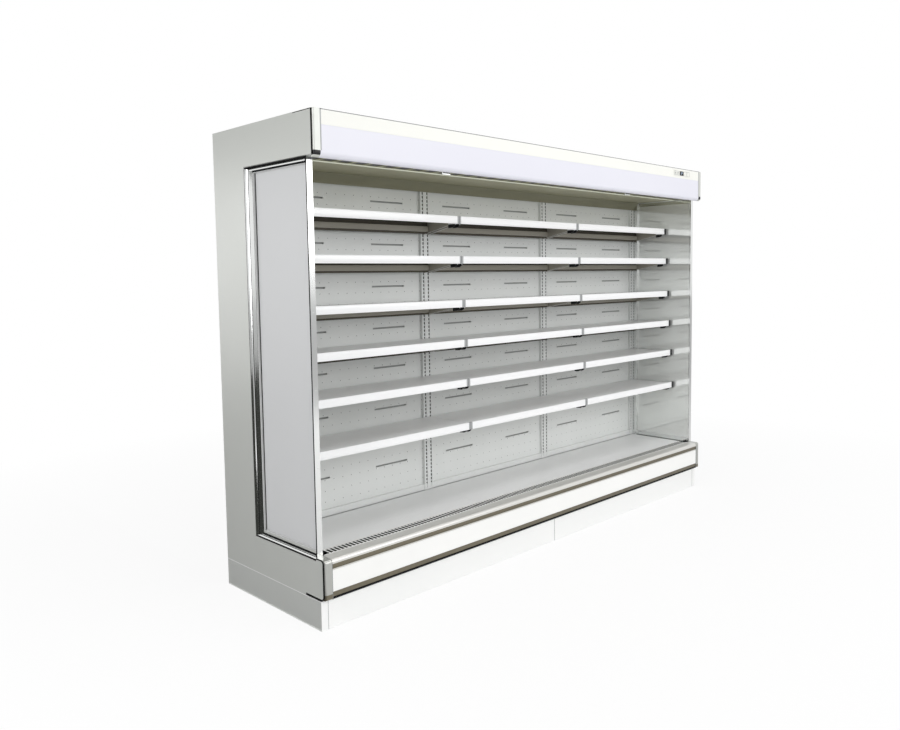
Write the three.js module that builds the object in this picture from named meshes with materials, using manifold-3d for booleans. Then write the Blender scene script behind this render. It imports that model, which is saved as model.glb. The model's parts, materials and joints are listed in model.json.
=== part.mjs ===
// Open multideck display fridge: an insulated body with glazed end walls, a canopy, a bumper,
// a plinth and three bays of hung shelves.
// Millimetres. +Z is up, +X runs to the right as a shopper sees the front, and the front faces -Y.
// The origin lies on the floor under the middle of the whole cabinet.

import * as THREE from 'three';
import { mergeVertices } from 'three/addons/utils/BufferGeometryUtils.js';
import Module from 'manifold-3d';

// ---------------------------------------------------------------------------------------------
// Driving dimensions
// ---------------------------------------------------------------------------------------------

// Whole cabinet. Distances called "from the rear" are measured from its back face to the front.
const bayCount = 3;
const bayWidth = 937.5;
const endWall = 45;
const height = 2000;
const depth = 750;
const seat = 0.3; // clearance between pieces that rest against each other
const sheet = 3; // folded sheet metal, as modelled
const overcut = 1; // cutting solids reach this far past what they cut
const circleSides = 24;
const pinSides = 16;

// Plinth and base frame.
const plinthHeight = 120;
const plinthSetback = 30; // behind the bumper nose
const plinthReturn = 32;
const plinthTopFlange = 30;
const plinthSeam = 1;
const baseTube = 40;
const baseInset = 60;
const baseSetback = 70; // behind the bumper nose
const footPadRadius = 22;
const footPadHeight = 8;
const footStemRadius = 8;

// Insulated body.
const noseDepth = 15; // bumper and canopy stand this far in front of the insulated body
const backWall = 45;
const roofThickness = 50;
const floorThickness = 45;
const floorFall = 12;
const tubFrontWall = 60;
const drainRadius = 20;
const drainFromRear = 150;

// End walls with their glazing.
const rearColumn = 250;
const glazingBelowBumper = 11; // its lower edge below the bumper's top
const glazingAboveCanopy = 11; // its upper edge above the canopy's lower edge
const glazingSetback = 40; // behind the front of the insulated body
const frameOuterInset = 6;
const frameThickness = 25;
const frameRearMember = 62;
const frameTopMember = 22;
const frameBottomMember = 37;
const framePost = 6;
const glassThickness = 15; // a sealed unit of two panes
const glassFromFrameFace = 10;
const panelCornerRadius = 12;
const trimLength = 117;
const trimGap = 10;

// Canopy.
const canopySetback = 2; // canopy front behind the bumper nose
const canopyHeight = 179;
const fasciaHeight = 58;
const canopyCapWidth = 34;
const canopySkin = 3;
const canopyLipRadius = 20;
const lipSteps = 6;
const capTongue = 4;
const lampDepth = 20;
const lampHeight = 18;
const lampFromFront = 3;
const lampEndGap = 20;
const ceilingAboveCanopy = 14;
const ceilingSetback = 29; // behind the front of the insulated body
const ceilingUpstand = 15;
const outletSetback = 116; // start of the air outlet behind the ceiling's front edge
const outletDepth = 64;
const outletSlotWidth = 60;
const outletSlotsPerBay = 12;

// Night blinds.
const rollerSetback = 41; // roll axis behind the front of the insulated body
const rollerAboveCeiling = 45;
const rollRadius = 24;
const rollerTubeRadius = 16;
const rollerTubeStep = 12;
const rollerPinRadius = 4;
const rollerPinClearance = 0.5;
const rollerPinLength = 2.5;
const rollerSideGap = 1.5;
const bracketThickness = 3;
const bracketHalfDepth = 14;
const bracketRise = 16;
const blindFabric = 0.8;
const fabricEndGap = 10;
const blindBarHeight = 16;
const blindBarDepth = 11;
const blindBarAboveCanopy = 9;
const gripWidth = 46;
const gripDrop = 18;
const gripThickness = 3;
const gripFromBlindEnd = 660;

// Controller in the canopy fascia.
const controllerWidth = 195;
const controllerHeight = 36;
const controllerFromEnd = 141.5;
const controllerProud = 1;
const controllerMargin = 8;
const keyWidth = 24;
const keyHeight = 24;
const keyGap = 6;
const keyTravel = 1.2;
const keyProud = 0.8;
const keyBody = 8;
const keyCount = 2;
const displayWidth = 46;
const displayHeight = 26;
const displayRecess = 1;
const windowRecess = 0.6;

// Bumper.
const bumperHeight = 160;
const bumperTopPlate = 4;
const bumperAbovePlinth = 7;
const bumperPlateLap = 3; // its top plate reaches this far behind the glazing's front
const bumperCapWidth = 37;
const noseRadius = 16;
const noseHeight = 19;
const shadowBandHeight = 20;
const shadowBandDepth = 8;
const insertLip = 5;
const insertHeight = 86;
const insertThickness = 3;
const insertSetback = 2;
const lowerFlangeSetback = 4;
const lowerFlangeDrop = 6;
const bumperLowerRadius = 8;
const capLowerRadius = 10;

// Shelf supports and rear duct.
const uprightFromRear = 280;
const uprightDepth = 14.7;
const uprightWidth = 60;
const slotOffset = 15.5;
const slotPitch = 19;
const slotWidth = 6;
const slotHeight = 12;
const crossRailHeight = 30;
const ductSlotWidth = 200;
const ductSlotHeight = 8;
const ductSlotsPerBay = 2;

// Shelves, from the top down.
const topShelfBelowCeiling = 213; // its price rail's lower edge
const rowSteps = [10, 11, 10, 10, 11]; // slots from each shelf down to the next
const topShelfDepth = 242;
const shelfDepthStep = 12;
const railHeight = 35;
const railDepth = 8;
const railLip = 4;
const railRecess = 1.5;
const trayBelowRail = 7;
const traySheet = 2;
const trayRearGap = 4;
const trayRearFlange = 18;
const junctionGap = 25; // between the price rails of neighbouring shelves
const cheekGap = 1.5;
const bracketRearDrop = 44;
const bracketTipDrop = 4;
const bracketTipLength = 33;
const bracketTipSetback = 12;
const hookHeightAboveRail = 10;
const hookSpacing = 2; // slots between the two hooks of a bracket
const hookReach = 7;
const hookLip = 6;

// Deck above the fan plenum.
const deckSheet = 2;
const deckFlange = 25;
const grilleWidth = 65; // deck front to the rear edge of the bumper's top plate
const deckGap = 1;
const grilleThickness = 3;
const grilleSlotPitch = 37.5;
const grilleSlotWidth = 25;
const grilleEdge = 9;
const deckRib = 6;
const bearerDepth = 12;
const bearerHeight = 16;

// Fans on their tilted plate.
const fanPlateGap = 8; // in front of the uprights
const fanPlateRun = 162;
const fanPlateRearDrop = 17; // below the deck
const fanPlateFrontDrop = 107;
const fanHoleRadius = 80;
const fanTipClearance = 4;
const fanHubRadius = 22;
const fanRotorHeight = 20;
const fanBladeCount = 5;
const fanBladeThickness = 2;
const fanBladeTwist = 35;
const fanShaftRadius = 4;
const fanShaftClearance = 0.5;
const fanMotorRadius = 28;
const fanMotorHeight = 22;
const fanMotorGap = 2;
const fanArmWidth = 12;
const fanArmCount = 3;

// Evaporator in the rear duct.
const coilDepth = 160;
const coilHeight = 200;
const coilAboveDeck = 73;
const coilEndGap = 100;
const coilSpine = 20;
const coilFinPitch = 52;
const coilFinWidth = 18;
const coilEndPlate = 4;
const coilPlateMargin = 12;
const coilBackGap = 25;

// ---------------------------------------------------------------------------------------------
// Places worked out from them
// ---------------------------------------------------------------------------------------------

const length = bayCount * bayWidth + 2 * endWall;
const halfLength = length / 2;
const halfInside = halfLength - endWall;
const bodyFront = depth - noseDepth;
const bodyBottom = plinthHeight + seat;
const bumperBottom = plinthHeight + bumperAbovePlinth;
const bumperTop = bumperBottom + bumperHeight;
const canopyFront = depth - canopySetback;
const canopyBottom = height - canopyHeight;
const plinthFromRear = depth - plinthSetback;
const baseFrontFromRear = depth - baseSetback;
const glazingFromRear = bodyFront - glazingSetback;
const glazingTop = canopyBottom + glazingAboveCanopy;
const glazingBottom = bumperTop - glazingBelowBumper;
const trimStartFromRear = bodyFront - trimLength;
const plateUnderside = bumperTop - bumperTopPlate;
const bumperPlateFromRear = glazingFromRear - bumperPlateLap;
const noseBottom = bumperTop - noseHeight;
const shadowBandBottom = noseBottom - shadowBandHeight;
const uprightFront = uprightFromRear;
const uprightBack = uprightFront - uprightDepth;
const ductFront = uprightBack - seat;
const ceilingHeight = canopyBottom + ceilingAboveCanopy;
const ceilingTop = ceilingHeight + sheet;
const ceilingFromRear = bodyFront - ceilingSetback;
const outletFromRear = ceilingFromRear - outletSetback;
const rollerFromRear = bodyFront - rollerSetback;
const rollerHeight = ceilingHeight + rollerAboveCeiling;
const blindBarBottom = canopyBottom + blindBarAboveCanopy;
const insertTop = shadowBandBottom - insertLip;
const insertBottom = insertTop - insertHeight;
const fasciaBottom = height - fasciaHeight;
const controllerMid = height - fasciaHeight / 2;
const topShelfRail = ceilingHeight - topShelfBelowCeiling;
const deckTop = bumperTop;
const deckFront = bumperPlateFromRear - grilleWidth;
const fanPlateRear = uprightFront + fanPlateGap;
const fanPlateRearHeight = deckTop - fanPlateRearDrop;
const fanPlateFront = fanPlateRear + fanPlateRun;
const fanPlateFrontHeight = deckTop - fanPlateFrontDrop;
const coilBottom = deckTop + coilAboveDeck;
const rowCount = rowSteps.length + 1;

const yAt = (fromRear) => depth / 2 - fromRear;
const bayCentre = (bay) => (bay - (bayCount - 1) / 2) * bayWidth;
const floorTopAt = (fromRear) => {
  const run = bodyFront - tubFrontWall - backWall;
  return plinthHeight + floorThickness + (floorFall * (fromRear - backWall)) / run;
};

// ---------------------------------------------------------------------------------------------
// Solids
// ---------------------------------------------------------------------------------------------

const wasm = await Module();
wasm.setup();

// A closed geometry as a solid that can be joined and cut. Triangles that collapse onto an axis
// are dropped.
function toSolid(geometry) {
  const bare = geometry.clone();
  bare.deleteAttribute('normal');
  bare.deleteAttribute('uv');
  const merged = mergeVertices(bare, 1e-4);
  const corners = Array.from(merged.index.array);
  const whole = corners.filter((_, k) => {
    const [a, b, c] = corners.slice(k - (k % 3), k - (k % 3) + 3);
    return a !== b && b !== c && c !== a;
  });
  return new wasm.Manifold(new wasm.Mesh({
    numProp: 3,
    vertProperties: new Float32Array(merged.attributes.position.array),
    triVerts: new Uint32Array(whole),
  }));
}

function toGeometry(solid) {
  const { vertProperties, triVerts } = solid.getMesh();
  const geometry = new THREE.BufferGeometry();
  geometry.setAttribute('position', new THREE.BufferAttribute(vertProperties, 3));
  geometry.setIndex(new THREE.BufferAttribute(triVerts, 1));
  geometry.computeVertexNormals();
  return geometry;
}

const join = (...parts) => toGeometry(parts.map(toSolid).reduce((sum, next) => sum.add(next)));

function cut(body, ...tools) {
  const removed = tools.map(toSolid).reduce((sum, next) => sum.add(next));
  return toGeometry(toSolid(body).subtract(removed));
}

// A closed outline, always counter-clockwise.
function toShape(points) {
  const outline = points.map(([u, v]) => new THREE.Vector2(u, v));
  return new THREE.Shape(THREE.ShapeUtils.isClockWise(outline) ? outline.reverse() : outline);
}

// An outline pushed along the third axis of the basis, less its holes.
function extrude(points, holes, distance, basis) {
  const push = (outline, start, end) => {
    const options = { depth: end - start, bevelEnabled: false };
    const geometry = new THREE.ExtrudeGeometry(toShape(outline), options);
    geometry.translate(0, 0, start);
    return geometry.applyMatrix4(new THREE.Matrix4().makeBasis(...basis));
  };
  const body = push(points, 0, distance);
  const through = holes.map((hole) => push(hole, -overcut, distance + overcut));
  return holes.length > 0 ? cut(body, ...through) : body;
}

const axisX = new THREE.Vector3(1, 0, 0);
const axisY = new THREE.Vector3(0, 1, 0);
const axisZ = new THREE.Vector3(0, 0, 1);
const towardsFront = new THREE.Vector3(0, -1, 0);

// A side-view section, as points [from the rear, height], run from xStart to xEnd.
function alongX(section, xStart, xEnd, holes = []) {
  const place = (points) => points.map(([fromRear, z]) => [yAt(fromRear), z]);
  const body = extrude(place(section), holes.map(place), xEnd - xStart, [axisY, axisZ, axisX]);
  return body.translate(xStart, 0, 0);
}

// A plan outline, as points [x, from the rear], run from zStart up to zEnd.
function alongZ(plan, zStart, zEnd, holes = []) {
  const place = (points) => points.map(([x, fromRear]) => [x, yAt(fromRear)]);
  const body = extrude(place(plan), holes.map(place), zEnd - zStart, [axisX, axisY, axisZ]);
  return body.translate(0, 0, zStart);
}

// A front-view outline, as points [x, height], run from one distance to another, front-wards.
function towardFront(front, startFromRear, endFromRear, holes = []) {
  const distance = endFromRear - startFromRear;
  const body = extrude(front, holes, distance, [axisX, axisZ, towardsFront]);
  return body.translate(0, yAt(startFromRear), 0);
}

const rectangle = (u0, u1, v0, v1) => [[u0, v0], [u1, v0], [u1, v1], [u0, v1]];

const block = (x0, x1, rear0, rear1, z0, z1) => alongX(rectangle(rear0, rear1, z0, z1), x0, x1);

// Points of an arc in a side view; angles in degrees from the front-ward direction, up positive.
function arc(fromRear, z, radius, startAngle, endAngle, steps = lipSteps) {
  return Array.from({ length: steps + 1 }, (_, k) => {
    const angle = THREE.MathUtils.degToRad(startAngle + ((endAngle - startAngle) * k) / steps);
    return [fromRear + radius * Math.cos(angle), z + radius * Math.sin(angle)];
  });
}

// A solid of revolution about +Z from [radius, height] points that start and end on the axis.
function turned(profile, sides) {
  const points = profile.map(([radius, z]) => new THREE.Vector2(radius, z));
  return new THREE.LatheGeometry(points, sides).rotateX(Math.PI / 2);
}

const disc = (radius, z0, z1, sides = circleSides) =>
  turned([[0, z0], [radius, z0], [radius, z1], [0, z1]], sides);

const mirrorX = (geometry) => toGeometry(toSolid(geometry).mirror([1, 0, 0]));

// ---------------------------------------------------------------------------------------------
// Finishes
// ---------------------------------------------------------------------------------------------

const finishes = {
  whitePaint: { color: '#f2f4f3', roughness: 0.4, metalness: 0 },
  greyPanel: { color: '#b8bab6', roughness: 0.35, metalness: 0.3 },
  chrome: { color: '#d8dadc', roughness: 0.15, metalness: 1 },
  brushedAluminium: { color: '#b3b4b4', roughness: 0.35, metalness: 0.9 },
  creamFascia: { color: '#fdfdf4', roughness: 0.45, metalness: 0 },
  lightPanel: { color: '#eeeefa', roughness: 0.3, metalness: 0 },
  warmGreyPaint: { color: '#7b786c', roughness: 0.5, metalness: 0.2 },
  glass: { color: '#c5c6c8', roughness: 0.05, metalness: 0 },
  blackPlastic: { color: '#26272a', roughness: 0.5, metalness: 0 },
  greyPlastic: { color: '#9b9da0', roughness: 0.45, metalness: 0 },
  blindFabric: { color: '#c9ccce', roughness: 0.7, metalness: 0 },
  galvanised: { color: '#a9adad', roughness: 0.45, metalness: 0.8 },
  finStock: { color: '#c2c6c6', roughness: 0.35, metalness: 0.9 },
};

const fridge = new THREE.Group();

function addPiece(name, geometry, finish, parent = fridge) {
  const mesh = new THREE.Mesh(geometry, new THREE.MeshStandardMaterial(finishes[finish]));
  mesh.name = name;
  parent.add(mesh);
  return mesh;
}

// The same piece at the right end, and mirrored at the left end.
function addPair(name, rightGeometry, finish) {
  addPiece(`${name}_right`, rightGeometry, finish);
  addPiece(`${name}_left`, mirrorX(rightGeometry), finish);
}

// ---------------------------------------------------------------------------------------------
// Base
// ---------------------------------------------------------------------------------------------

// A foot is a pad on a threaded stem, screwed up into the frame.
function levellingFoot(x, fromRear) {
  const frameBottom = plinthHeight - baseTube;
  const profile = [
    [0, 0],
    [footPadRadius, 0],
    [footPadRadius, footPadHeight],
    [footStemRadius, footPadHeight],
    [footStemRadius, frameBottom + baseTube / 2],
    [0, frameBottom + baseTube / 2],
  ];
  return turned(profile, pinSides).translate(x, yAt(fromRear), 0);
}

function baseFrame() {
  const outerX = halfLength - baseInset;
  const cells = Array.from({ length: bayCount }, (_, bay) => {
    const left = bay === 0 ? -outerX + baseTube : bayCentre(bay) - bayWidth / 2 + baseTube / 2;
    const last = bay === bayCount - 1;
    const right = last ? outerX - baseTube : bayCentre(bay) + bayWidth / 2 - baseTube / 2;
    return rectangle(left, right, baseInset + baseTube, baseFrontFromRear - baseTube);
  });
  const plan = rectangle(-outerX, outerX, baseInset, baseFrontFromRear);
  const ladder = alongZ(plan, plinthHeight - baseTube, plinthHeight, cells);
  const rows = [baseInset + baseTube / 2, baseFrontFromRear - baseTube / 2];
  const columns = [-outerX + baseTube / 2, 0, outerX - baseTube / 2];
  const feet = columns.flatMap((x) => rows.map((fromRear) => levellingFoot(x, fromRear)));
  return join(ladder, ...feet);
}

// The kick panel hangs from a top flange under the body.
function plinthFront() {
  const inner = plinthFromRear - sheet;
  const section = [
    [plinthFromRear, 0],
    [plinthFromRear, plinthHeight],
    [plinthFromRear - plinthTopFlange, plinthHeight],
    [plinthFromRear - plinthTopFlange, plinthHeight - sheet],
    [inner, plinthHeight - sheet],
    [inner, 0],
  ];
  return alongX(section, plinthSeam / 2, halfLength - plinthReturn - seat);
}

// The end plinth turns the corner to show a narrow strip at the front.
function plinthEnd() {
  const plan = [
    [halfLength, 0],
    [halfLength, plinthFromRear],
    [halfLength - plinthReturn, plinthFromRear],
    [halfLength - plinthReturn, plinthFromRear - sheet],
    [halfLength - sheet, plinthFromRear - sheet],
    [halfLength - sheet, 0],
  ];
  return alongZ(plan, 0, plinthHeight);
}

addPiece('base_frame', baseFrame(), 'galvanised');
addPair('plinth_front', plinthFront(), 'whitePaint');
addPair('plinth_end', plinthEnd(), 'whitePaint');

// ---------------------------------------------------------------------------------------------
// Insulated body and end walls
// ---------------------------------------------------------------------------------------------

function insulatedShell() {
  const roofUnderside = height - roofThickness;
  const tubInner = bodyFront - tubFrontWall;
  const section = [
    [0, bodyBottom],
    [bodyFront, bodyBottom],
    [bodyFront, plateUnderside - seat],
    [tubInner, plateUnderside - seat],
    [tubInner, floorTopAt(tubInner)],
    [backWall, floorTopAt(backWall)],
    [backWall, roofUnderside],
    [bodyFront, roofUnderside],
    [bodyFront, height],
    [0, height],
  ];
  const tub = alongX(section, -halfInside + seat, halfInside - seat);
  const drain = disc(drainRadius, 0, plinthHeight + 2 * floorThickness).translate(0, yAt(drainFromRear), 0);
  return cut(tub, drain);
}

// The end wall is a C that holds the glazing, with rounded corners behind the bumper cap.
function sidePanel() {
  const r = panelCornerRadius;
  const lowTop = plateUnderside - seat;
  const lowBottom = bodyBottom + trimGap;
  const section = [
    [0, bodyBottom],
    [trimStartFromRear, bodyBottom],
    [trimStartFromRear, lowBottom],
    ...arc(bodyFront - r, lowBottom + r, r, -90, 0),
    ...arc(bodyFront - r, lowTop - r, r, 0, 90),
    [glazingFromRear + 2 * seat, lowTop],
    [glazingFromRear + 2 * seat, glazingBottom],
    [rearColumn, glazingBottom],
    [rearColumn, glazingTop],
    [bodyFront, glazingTop],
    [bodyFront, height - capTongue - seat],
    [trimStartFromRear, height - capTongue - seat],
    [trimStartFromRear, height],
    [0, height],
  ];
  return alongX(section, halfInside, halfLength);
}

function glassFrame() {
  const outer = rectangle(
    rearColumn + seat, glazingFromRear, glazingBottom + seat, glazingTop - seat);
  const hole = rectangle(
    rearColumn + frameRearMember, glazingFromRear - framePost,
    glazingBottom + frameBottomMember, glazingTop - frameTopMember);
  const outerX = halfLength - frameOuterInset;
  const ring = alongX(outer, outerX - frameThickness, outerX, [hole]);
  const reveal = block(
    halfInside, outerX - frameThickness / 2,
    rearColumn + seat, rearColumn + frameRearMember, glazingBottom + seat, glazingTop - seat);
  return join(ring, reveal);
}

function endGlass() {
  const outerX = halfLength - frameOuterInset - glassFromFrameFace;
  return block(
    outerX - glassThickness, outerX,
    rearColumn + frameRearMember + seat, glazingFromRear - framePost - seat,
    glazingBottom + frameBottomMember + seat, glazingTop - frameTopMember - seat);
}

addPiece('insulated_shell', insulatedShell(), 'whitePaint');
addPair('side_panel', sidePanel(), 'greyPanel');
addPair('glass_frame', glassFrame(), 'chrome');
addPair('end_glass', endGlass(), 'glass');

// ---------------------------------------------------------------------------------------------
// Canopy
// ---------------------------------------------------------------------------------------------

const canopyHalf = halfLength - canopyCapWidth - seat;
const controllerRight = halfLength - controllerFromEnd;
const controllerLeft = controllerRight - controllerWidth;

function canopyFascia() {
  const rear = bodyFront + seat;
  const inner = canopyFront - canopySkin;
  const section = [
    [rear, height],
    [canopyFront, height],
    [canopyFront, fasciaBottom + seat],
    [rear, fasciaBottom + seat],
    [rear, fasciaBottom + seat + canopySkin],
    [inner, fasciaBottom + seat + canopySkin],
    [inner, height - canopySkin],
    [rear, height - canopySkin],
  ];
  const window = block(
    controllerLeft - seat, controllerRight + seat, bodyFront + canopySkin, canopyFront + overcut,
    controllerMid - controllerHeight / 2 - seat, controllerMid + controllerHeight / 2 + seat);
  return cut(alongX(section, -canopyHalf, canopyHalf), window);
}

// The translucent front drops from the fascia and curls under in a soft lip.
function canopyLightPanel() {
  const lipCentreRear = canopyFront - canopyLipRadius;
  const lipCentreZ = canopyBottom + canopyLipRadius;
  const section = [
    [canopyFront, fasciaBottom],
    ...arc(lipCentreRear, lipCentreZ, canopyLipRadius, 0, -90),
    ...arc(lipCentreRear, lipCentreZ, canopyLipRadius - canopySkin, -90, 0),
    [canopyFront - canopySkin, fasciaBottom],
  ];
  return alongX(section, -canopyHalf, canopyHalf);
}

// The end cap closes the canopy in front of the end wall, with a tongue over its top edge.
function canopyEndCap() {
  const lipCentreRear = canopyFront - canopyLipRadius;
  const section = [
    [trimStartFromRear + seat, height],
    [canopyFront, height],
    ...arc(lipCentreRear, canopyBottom + canopyLipRadius, canopyLipRadius, 0, -90),
    [lipCentreRear, glazingTop - seat],
    [bodyFront + seat, glazingTop - seat],
    [bodyFront + seat, height - capTongue],
    [trimStartFromRear + seat, height - capTongue],
  ];
  return alongX(section, halfLength - canopyCapWidth, halfLength);
}

function canopyLamp() {
  const front = bodyFront - lampFromFront;
  const top = height - roofThickness - seat;
  const section = [
    [front - lampDepth, top],
    [front - lampDepth, top - lampHeight / 3],
    [front - lampDepth / 3, top - lampHeight],
    [front, top - lampHeight],
    [front, top],
  ];
  return alongX(section, -halfInside + lampEndGap, halfInside - lampEndGap);
}

// A bracket plate stands on the ceiling and holds a roller pin.
function rollerBracket(xStart, xEnd) {
  const plate = rectangle(
    rollerFromRear - bracketHalfDepth, ceilingFromRear,
    ceilingTop - sheet / 2, rollerHeight + bracketRise);
  const bearing = arc(
    rollerFromRear, rollerHeight, rollerPinRadius + rollerPinClearance, 0, 360, pinSides);
  return alongX(plate, xStart, xEnd, [bearing.slice(0, -1)]);
}

// The ceiling carries the air-curtain outlet slots and the blind brackets.
function canopyCeiling() {
  const slots = [];
  const step = bayWidth / outletSlotsPerBay;
  for (let k = 0; k < bayCount * outletSlotsPerBay; k += 1) {
    const x = -(bayCount * bayWidth) / 2 + (k + 0.5) * step;
    const half = outletSlotWidth / 2;
    slots.push(rectangle(x - half, x + half, outletFromRear, outletFromRear + outletDepth));
  }
  const reach = halfInside - seat;
  const plan = rectangle(-reach, reach, ductFront - sheet, ceilingFromRear);
  const plate = alongZ(plan, ceilingHeight, ceilingTop, slots);
  const upstand = block(
    -reach, reach, ceilingFromRear - sheet, ceilingFromRear,
    ceilingHeight, ceilingTop + ceilingUpstand);
  const brackets = [
    rollerBracket(-reach, -reach + bracketThickness),
    rollerBracket(-bracketThickness, bracketThickness),
    rollerBracket(reach - bracketThickness, reach),
  ];
  return join(plate, upstand, ...brackets);
}

addPiece('canopy_fascia', canopyFascia(), 'creamFascia');
addPiece('canopy_light_panel', canopyLightPanel(), 'lightPanel');
addPair('canopy_end_cap', canopyEndCap(), 'greyPlastic');
addPiece('canopy_lamp', canopyLamp(), 'whitePaint');
addPiece('canopy_ceiling', canopyCeiling(), 'warmGreyPaint');

// ---------------------------------------------------------------------------------------------
// Night blinds: one over each half of the cabinet
// ---------------------------------------------------------------------------------------------

const blindStart = bracketThickness; // inner end of the right-hand blind
const blindEnd = halfInside - seat - bracketThickness;
const fabricLine = rollerFromRear + rollRadius + seat;

function blindRoller() {
  const a = blindStart + rollerSideGap;
  const b = blindEnd - rollerSideGap;
  const profile = [
    [0, a - rollerPinLength],
    [rollerPinRadius, a - rollerPinLength],
    [rollerPinRadius, a],
    [rollerTubeRadius, a],
    [rollerTubeRadius, a + rollerTubeStep],
    [rollRadius, a + rollerTubeStep],
    [rollRadius, b - rollerTubeStep],
    [rollerTubeRadius, b - rollerTubeStep],
    [rollerTubeRadius, b],
    [rollerPinRadius, b],
    [rollerPinRadius, b + rollerPinLength],
    [0, b + rollerPinLength],
  ];
  const roll = turned(profile, circleSides).rotateY(Math.PI / 2);
  return roll.translate(0, yAt(rollerFromRear), rollerHeight);
}

// The short length of fabric that shows between the roll and its bar.
function blindFabricStrip() {
  return block(
    blindStart + rollerTubeStep + fabricEndGap, blindEnd - rollerTubeStep - fabricEndGap,
    fabricLine, fabricLine + blindFabric,
    blindBarBottom + blindBarHeight + seat, rollerHeight);
}

// The bar weighs the hem down. Its grip stands below it, at gripX.
function blindHandle(gripX, xStart, xEnd) {
  const middle = fabricLine + blindFabric / 2;
  const rear = middle - blindBarDepth / 2;
  const front = middle + blindBarDepth / 2;
  const top = blindBarBottom + blindBarHeight;
  const r = blindBarDepth / 2;
  const section = [
    [rear, top],
    [rear, blindBarBottom + r],
    ...arc(middle, blindBarBottom + r, r, -180, 0).slice(1, -1),
    [front, blindBarBottom + r],
    [front, top],
  ];
  const gripSection = [
    [front - gripThickness, top - blindBarHeight / 2],
    [front, top - blindBarHeight / 2],
    [front, blindBarBottom - gripDrop],
    [rear, blindBarBottom - gripDrop],
    [rear, blindBarBottom - gripDrop + gripThickness],
    [front - gripThickness, blindBarBottom - gripDrop + gripThickness],
  ];
  const grip = alongX(gripSection, gripX - gripWidth / 2, gripX + gripWidth / 2);
  return join(alongX(section, xStart, xEnd), grip);
}

const barStart = blindStart + rollerTubeStep;
const barEnd = blindEnd - rollerTubeStep;
addPair('blind_roller', blindRoller(), 'blindFabric');
addPair('blind_fabric', blindFabricStrip(), 'blindFabric');
addPiece(
  'blind_handle_left',
  blindHandle(-halfInside + gripFromBlindEnd, -barEnd, -barStart), 'brushedAluminium');
addPiece(
  'blind_handle_right', blindHandle(gripFromBlindEnd, barStart, barEnd), 'brushedAluminium');

// ---------------------------------------------------------------------------------------------
// Controller
// ---------------------------------------------------------------------------------------------

const controllerFace = canopyFront + controllerProud;
const keyLeft = (k) => controllerLeft + controllerMargin + k * (keyWidth + keyGap);
const keyPocketBack = controllerFace - keyBody - keyTravel;

function controllerHousing() {
  const zLow = controllerMid - controllerHeight / 2;
  const zHigh = controllerMid + controllerHeight / 2;
  const back = bodyFront + seat;
  const body = block(controllerLeft, controllerRight, back, controllerFace, zLow, zHigh);
  const beyond = controllerFace + overcut;
  const pockets = Array.from({ length: keyCount }, (_, k) => block(
    keyLeft(k) - seat, keyLeft(k) + keyWidth + seat, keyPocketBack, beyond,
    controllerMid - keyHeight / 2 - seat, controllerMid + keyHeight / 2 + seat));
  const displayLeft = keyLeft(keyCount) + keyGap / 2;
  const displayRight = displayLeft + displayWidth;
  const half = displayHeight / 2;
  const display = block(
    displayLeft, displayRight, controllerFace - displayRecess, beyond,
    controllerMid - half, controllerMid + half);
  const window = block(
    displayRight + controllerMargin, controllerRight - controllerMargin,
    controllerFace - windowRecess, beyond, controllerMid - half, controllerMid + half);
  return cut(body, ...pockets, display, window);
}

addPiece('controller_housing', controllerHousing(), 'creamFascia');
for (let k = 0; k < keyCount; k += 1) {
  const key = block(
    keyLeft(k), keyLeft(k) + keyWidth, controllerFace - keyBody, controllerFace + keyProud,
    controllerMid - keyHeight / 2, controllerMid + keyHeight / 2);
  addPiece(`controller_key_${k + 1}`, key, 'greyPlastic');
}

// ---------------------------------------------------------------------------------------------
// Bumper
// ---------------------------------------------------------------------------------------------

const bumperHalf = halfLength - bumperCapWidth - seat;
const noseArc = () => arc(depth - noseRadius, bumperTop - noseRadius, noseRadius, 90, 0);

function bumperProfile() {
  const rear = bodyFront + seat;
  const lipFront = depth - insertSetback / 2;
  const insertBack = depth - insertSetback - insertThickness - seat;
  const flangeFront = depth - lowerFlangeSetback;
  const r = bumperLowerRadius;
  const section = [
    [bumperPlateFromRear, bumperTop],
    ...noseArc(),
    [depth, noseBottom],
    [depth - shadowBandDepth, noseBottom],
    [depth - shadowBandDepth, shadowBandBottom],
    [lipFront, shadowBandBottom],
    [lipFront, insertTop],
    [insertBack, insertTop],
    [insertBack, insertBottom],
    [lipFront, insertBottom],
    [lipFront, insertBottom - lowerFlangeDrop],
    [flangeFront, insertBottom - lowerFlangeDrop],
    ...arc(flangeFront - r, bumperBottom + r, r, 0, -90),
    [rear, bumperBottom],
    [rear, plateUnderside],
    [bumperPlateFromRear, plateUnderside],
  ];
  return alongX(section, -bumperHalf, bumperHalf);
}

function bumperInsert() {
  const front = depth - insertSetback;
  return block(
    -bumperHalf, bumperHalf, front - insertThickness, front,
    insertBottom + seat, insertTop - seat);
}

// The cap is a band that follows the rounded front of the end wall.
function bumperEndCap() {
  const inner = panelCornerRadius + seat;
  const centreRear = bodyFront - panelCornerRadius;
  const highCentre = plateUnderside - seat - panelCornerRadius;
  const lowCentre = bodyBottom + trimGap + panelCornerRadius;
  const r = capLowerRadius;
  const section = [
    [glazingFromRear + 2 * seat, bumperTop],
    ...noseArc(),
    ...arc(depth - r, bumperBottom + r, r, 0, -90),
    [centreRear, bumperBottom],
    ...arc(centreRear, lowCentre, inner, -90, 0),
    ...arc(centreRear, highCentre, inner, 0, 90),
    [glazingFromRear + 2 * seat, plateUnderside],
  ];
  return alongX(section, halfLength - bumperCapWidth, halfLength);
}

addPiece('bumper_profile', bumperProfile(), 'brushedAluminium');
addPiece('bumper_insert', bumperInsert(), 'whitePaint');
addPair('bumper_end_cap', bumperEndCap(), 'greyPlastic');

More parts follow.
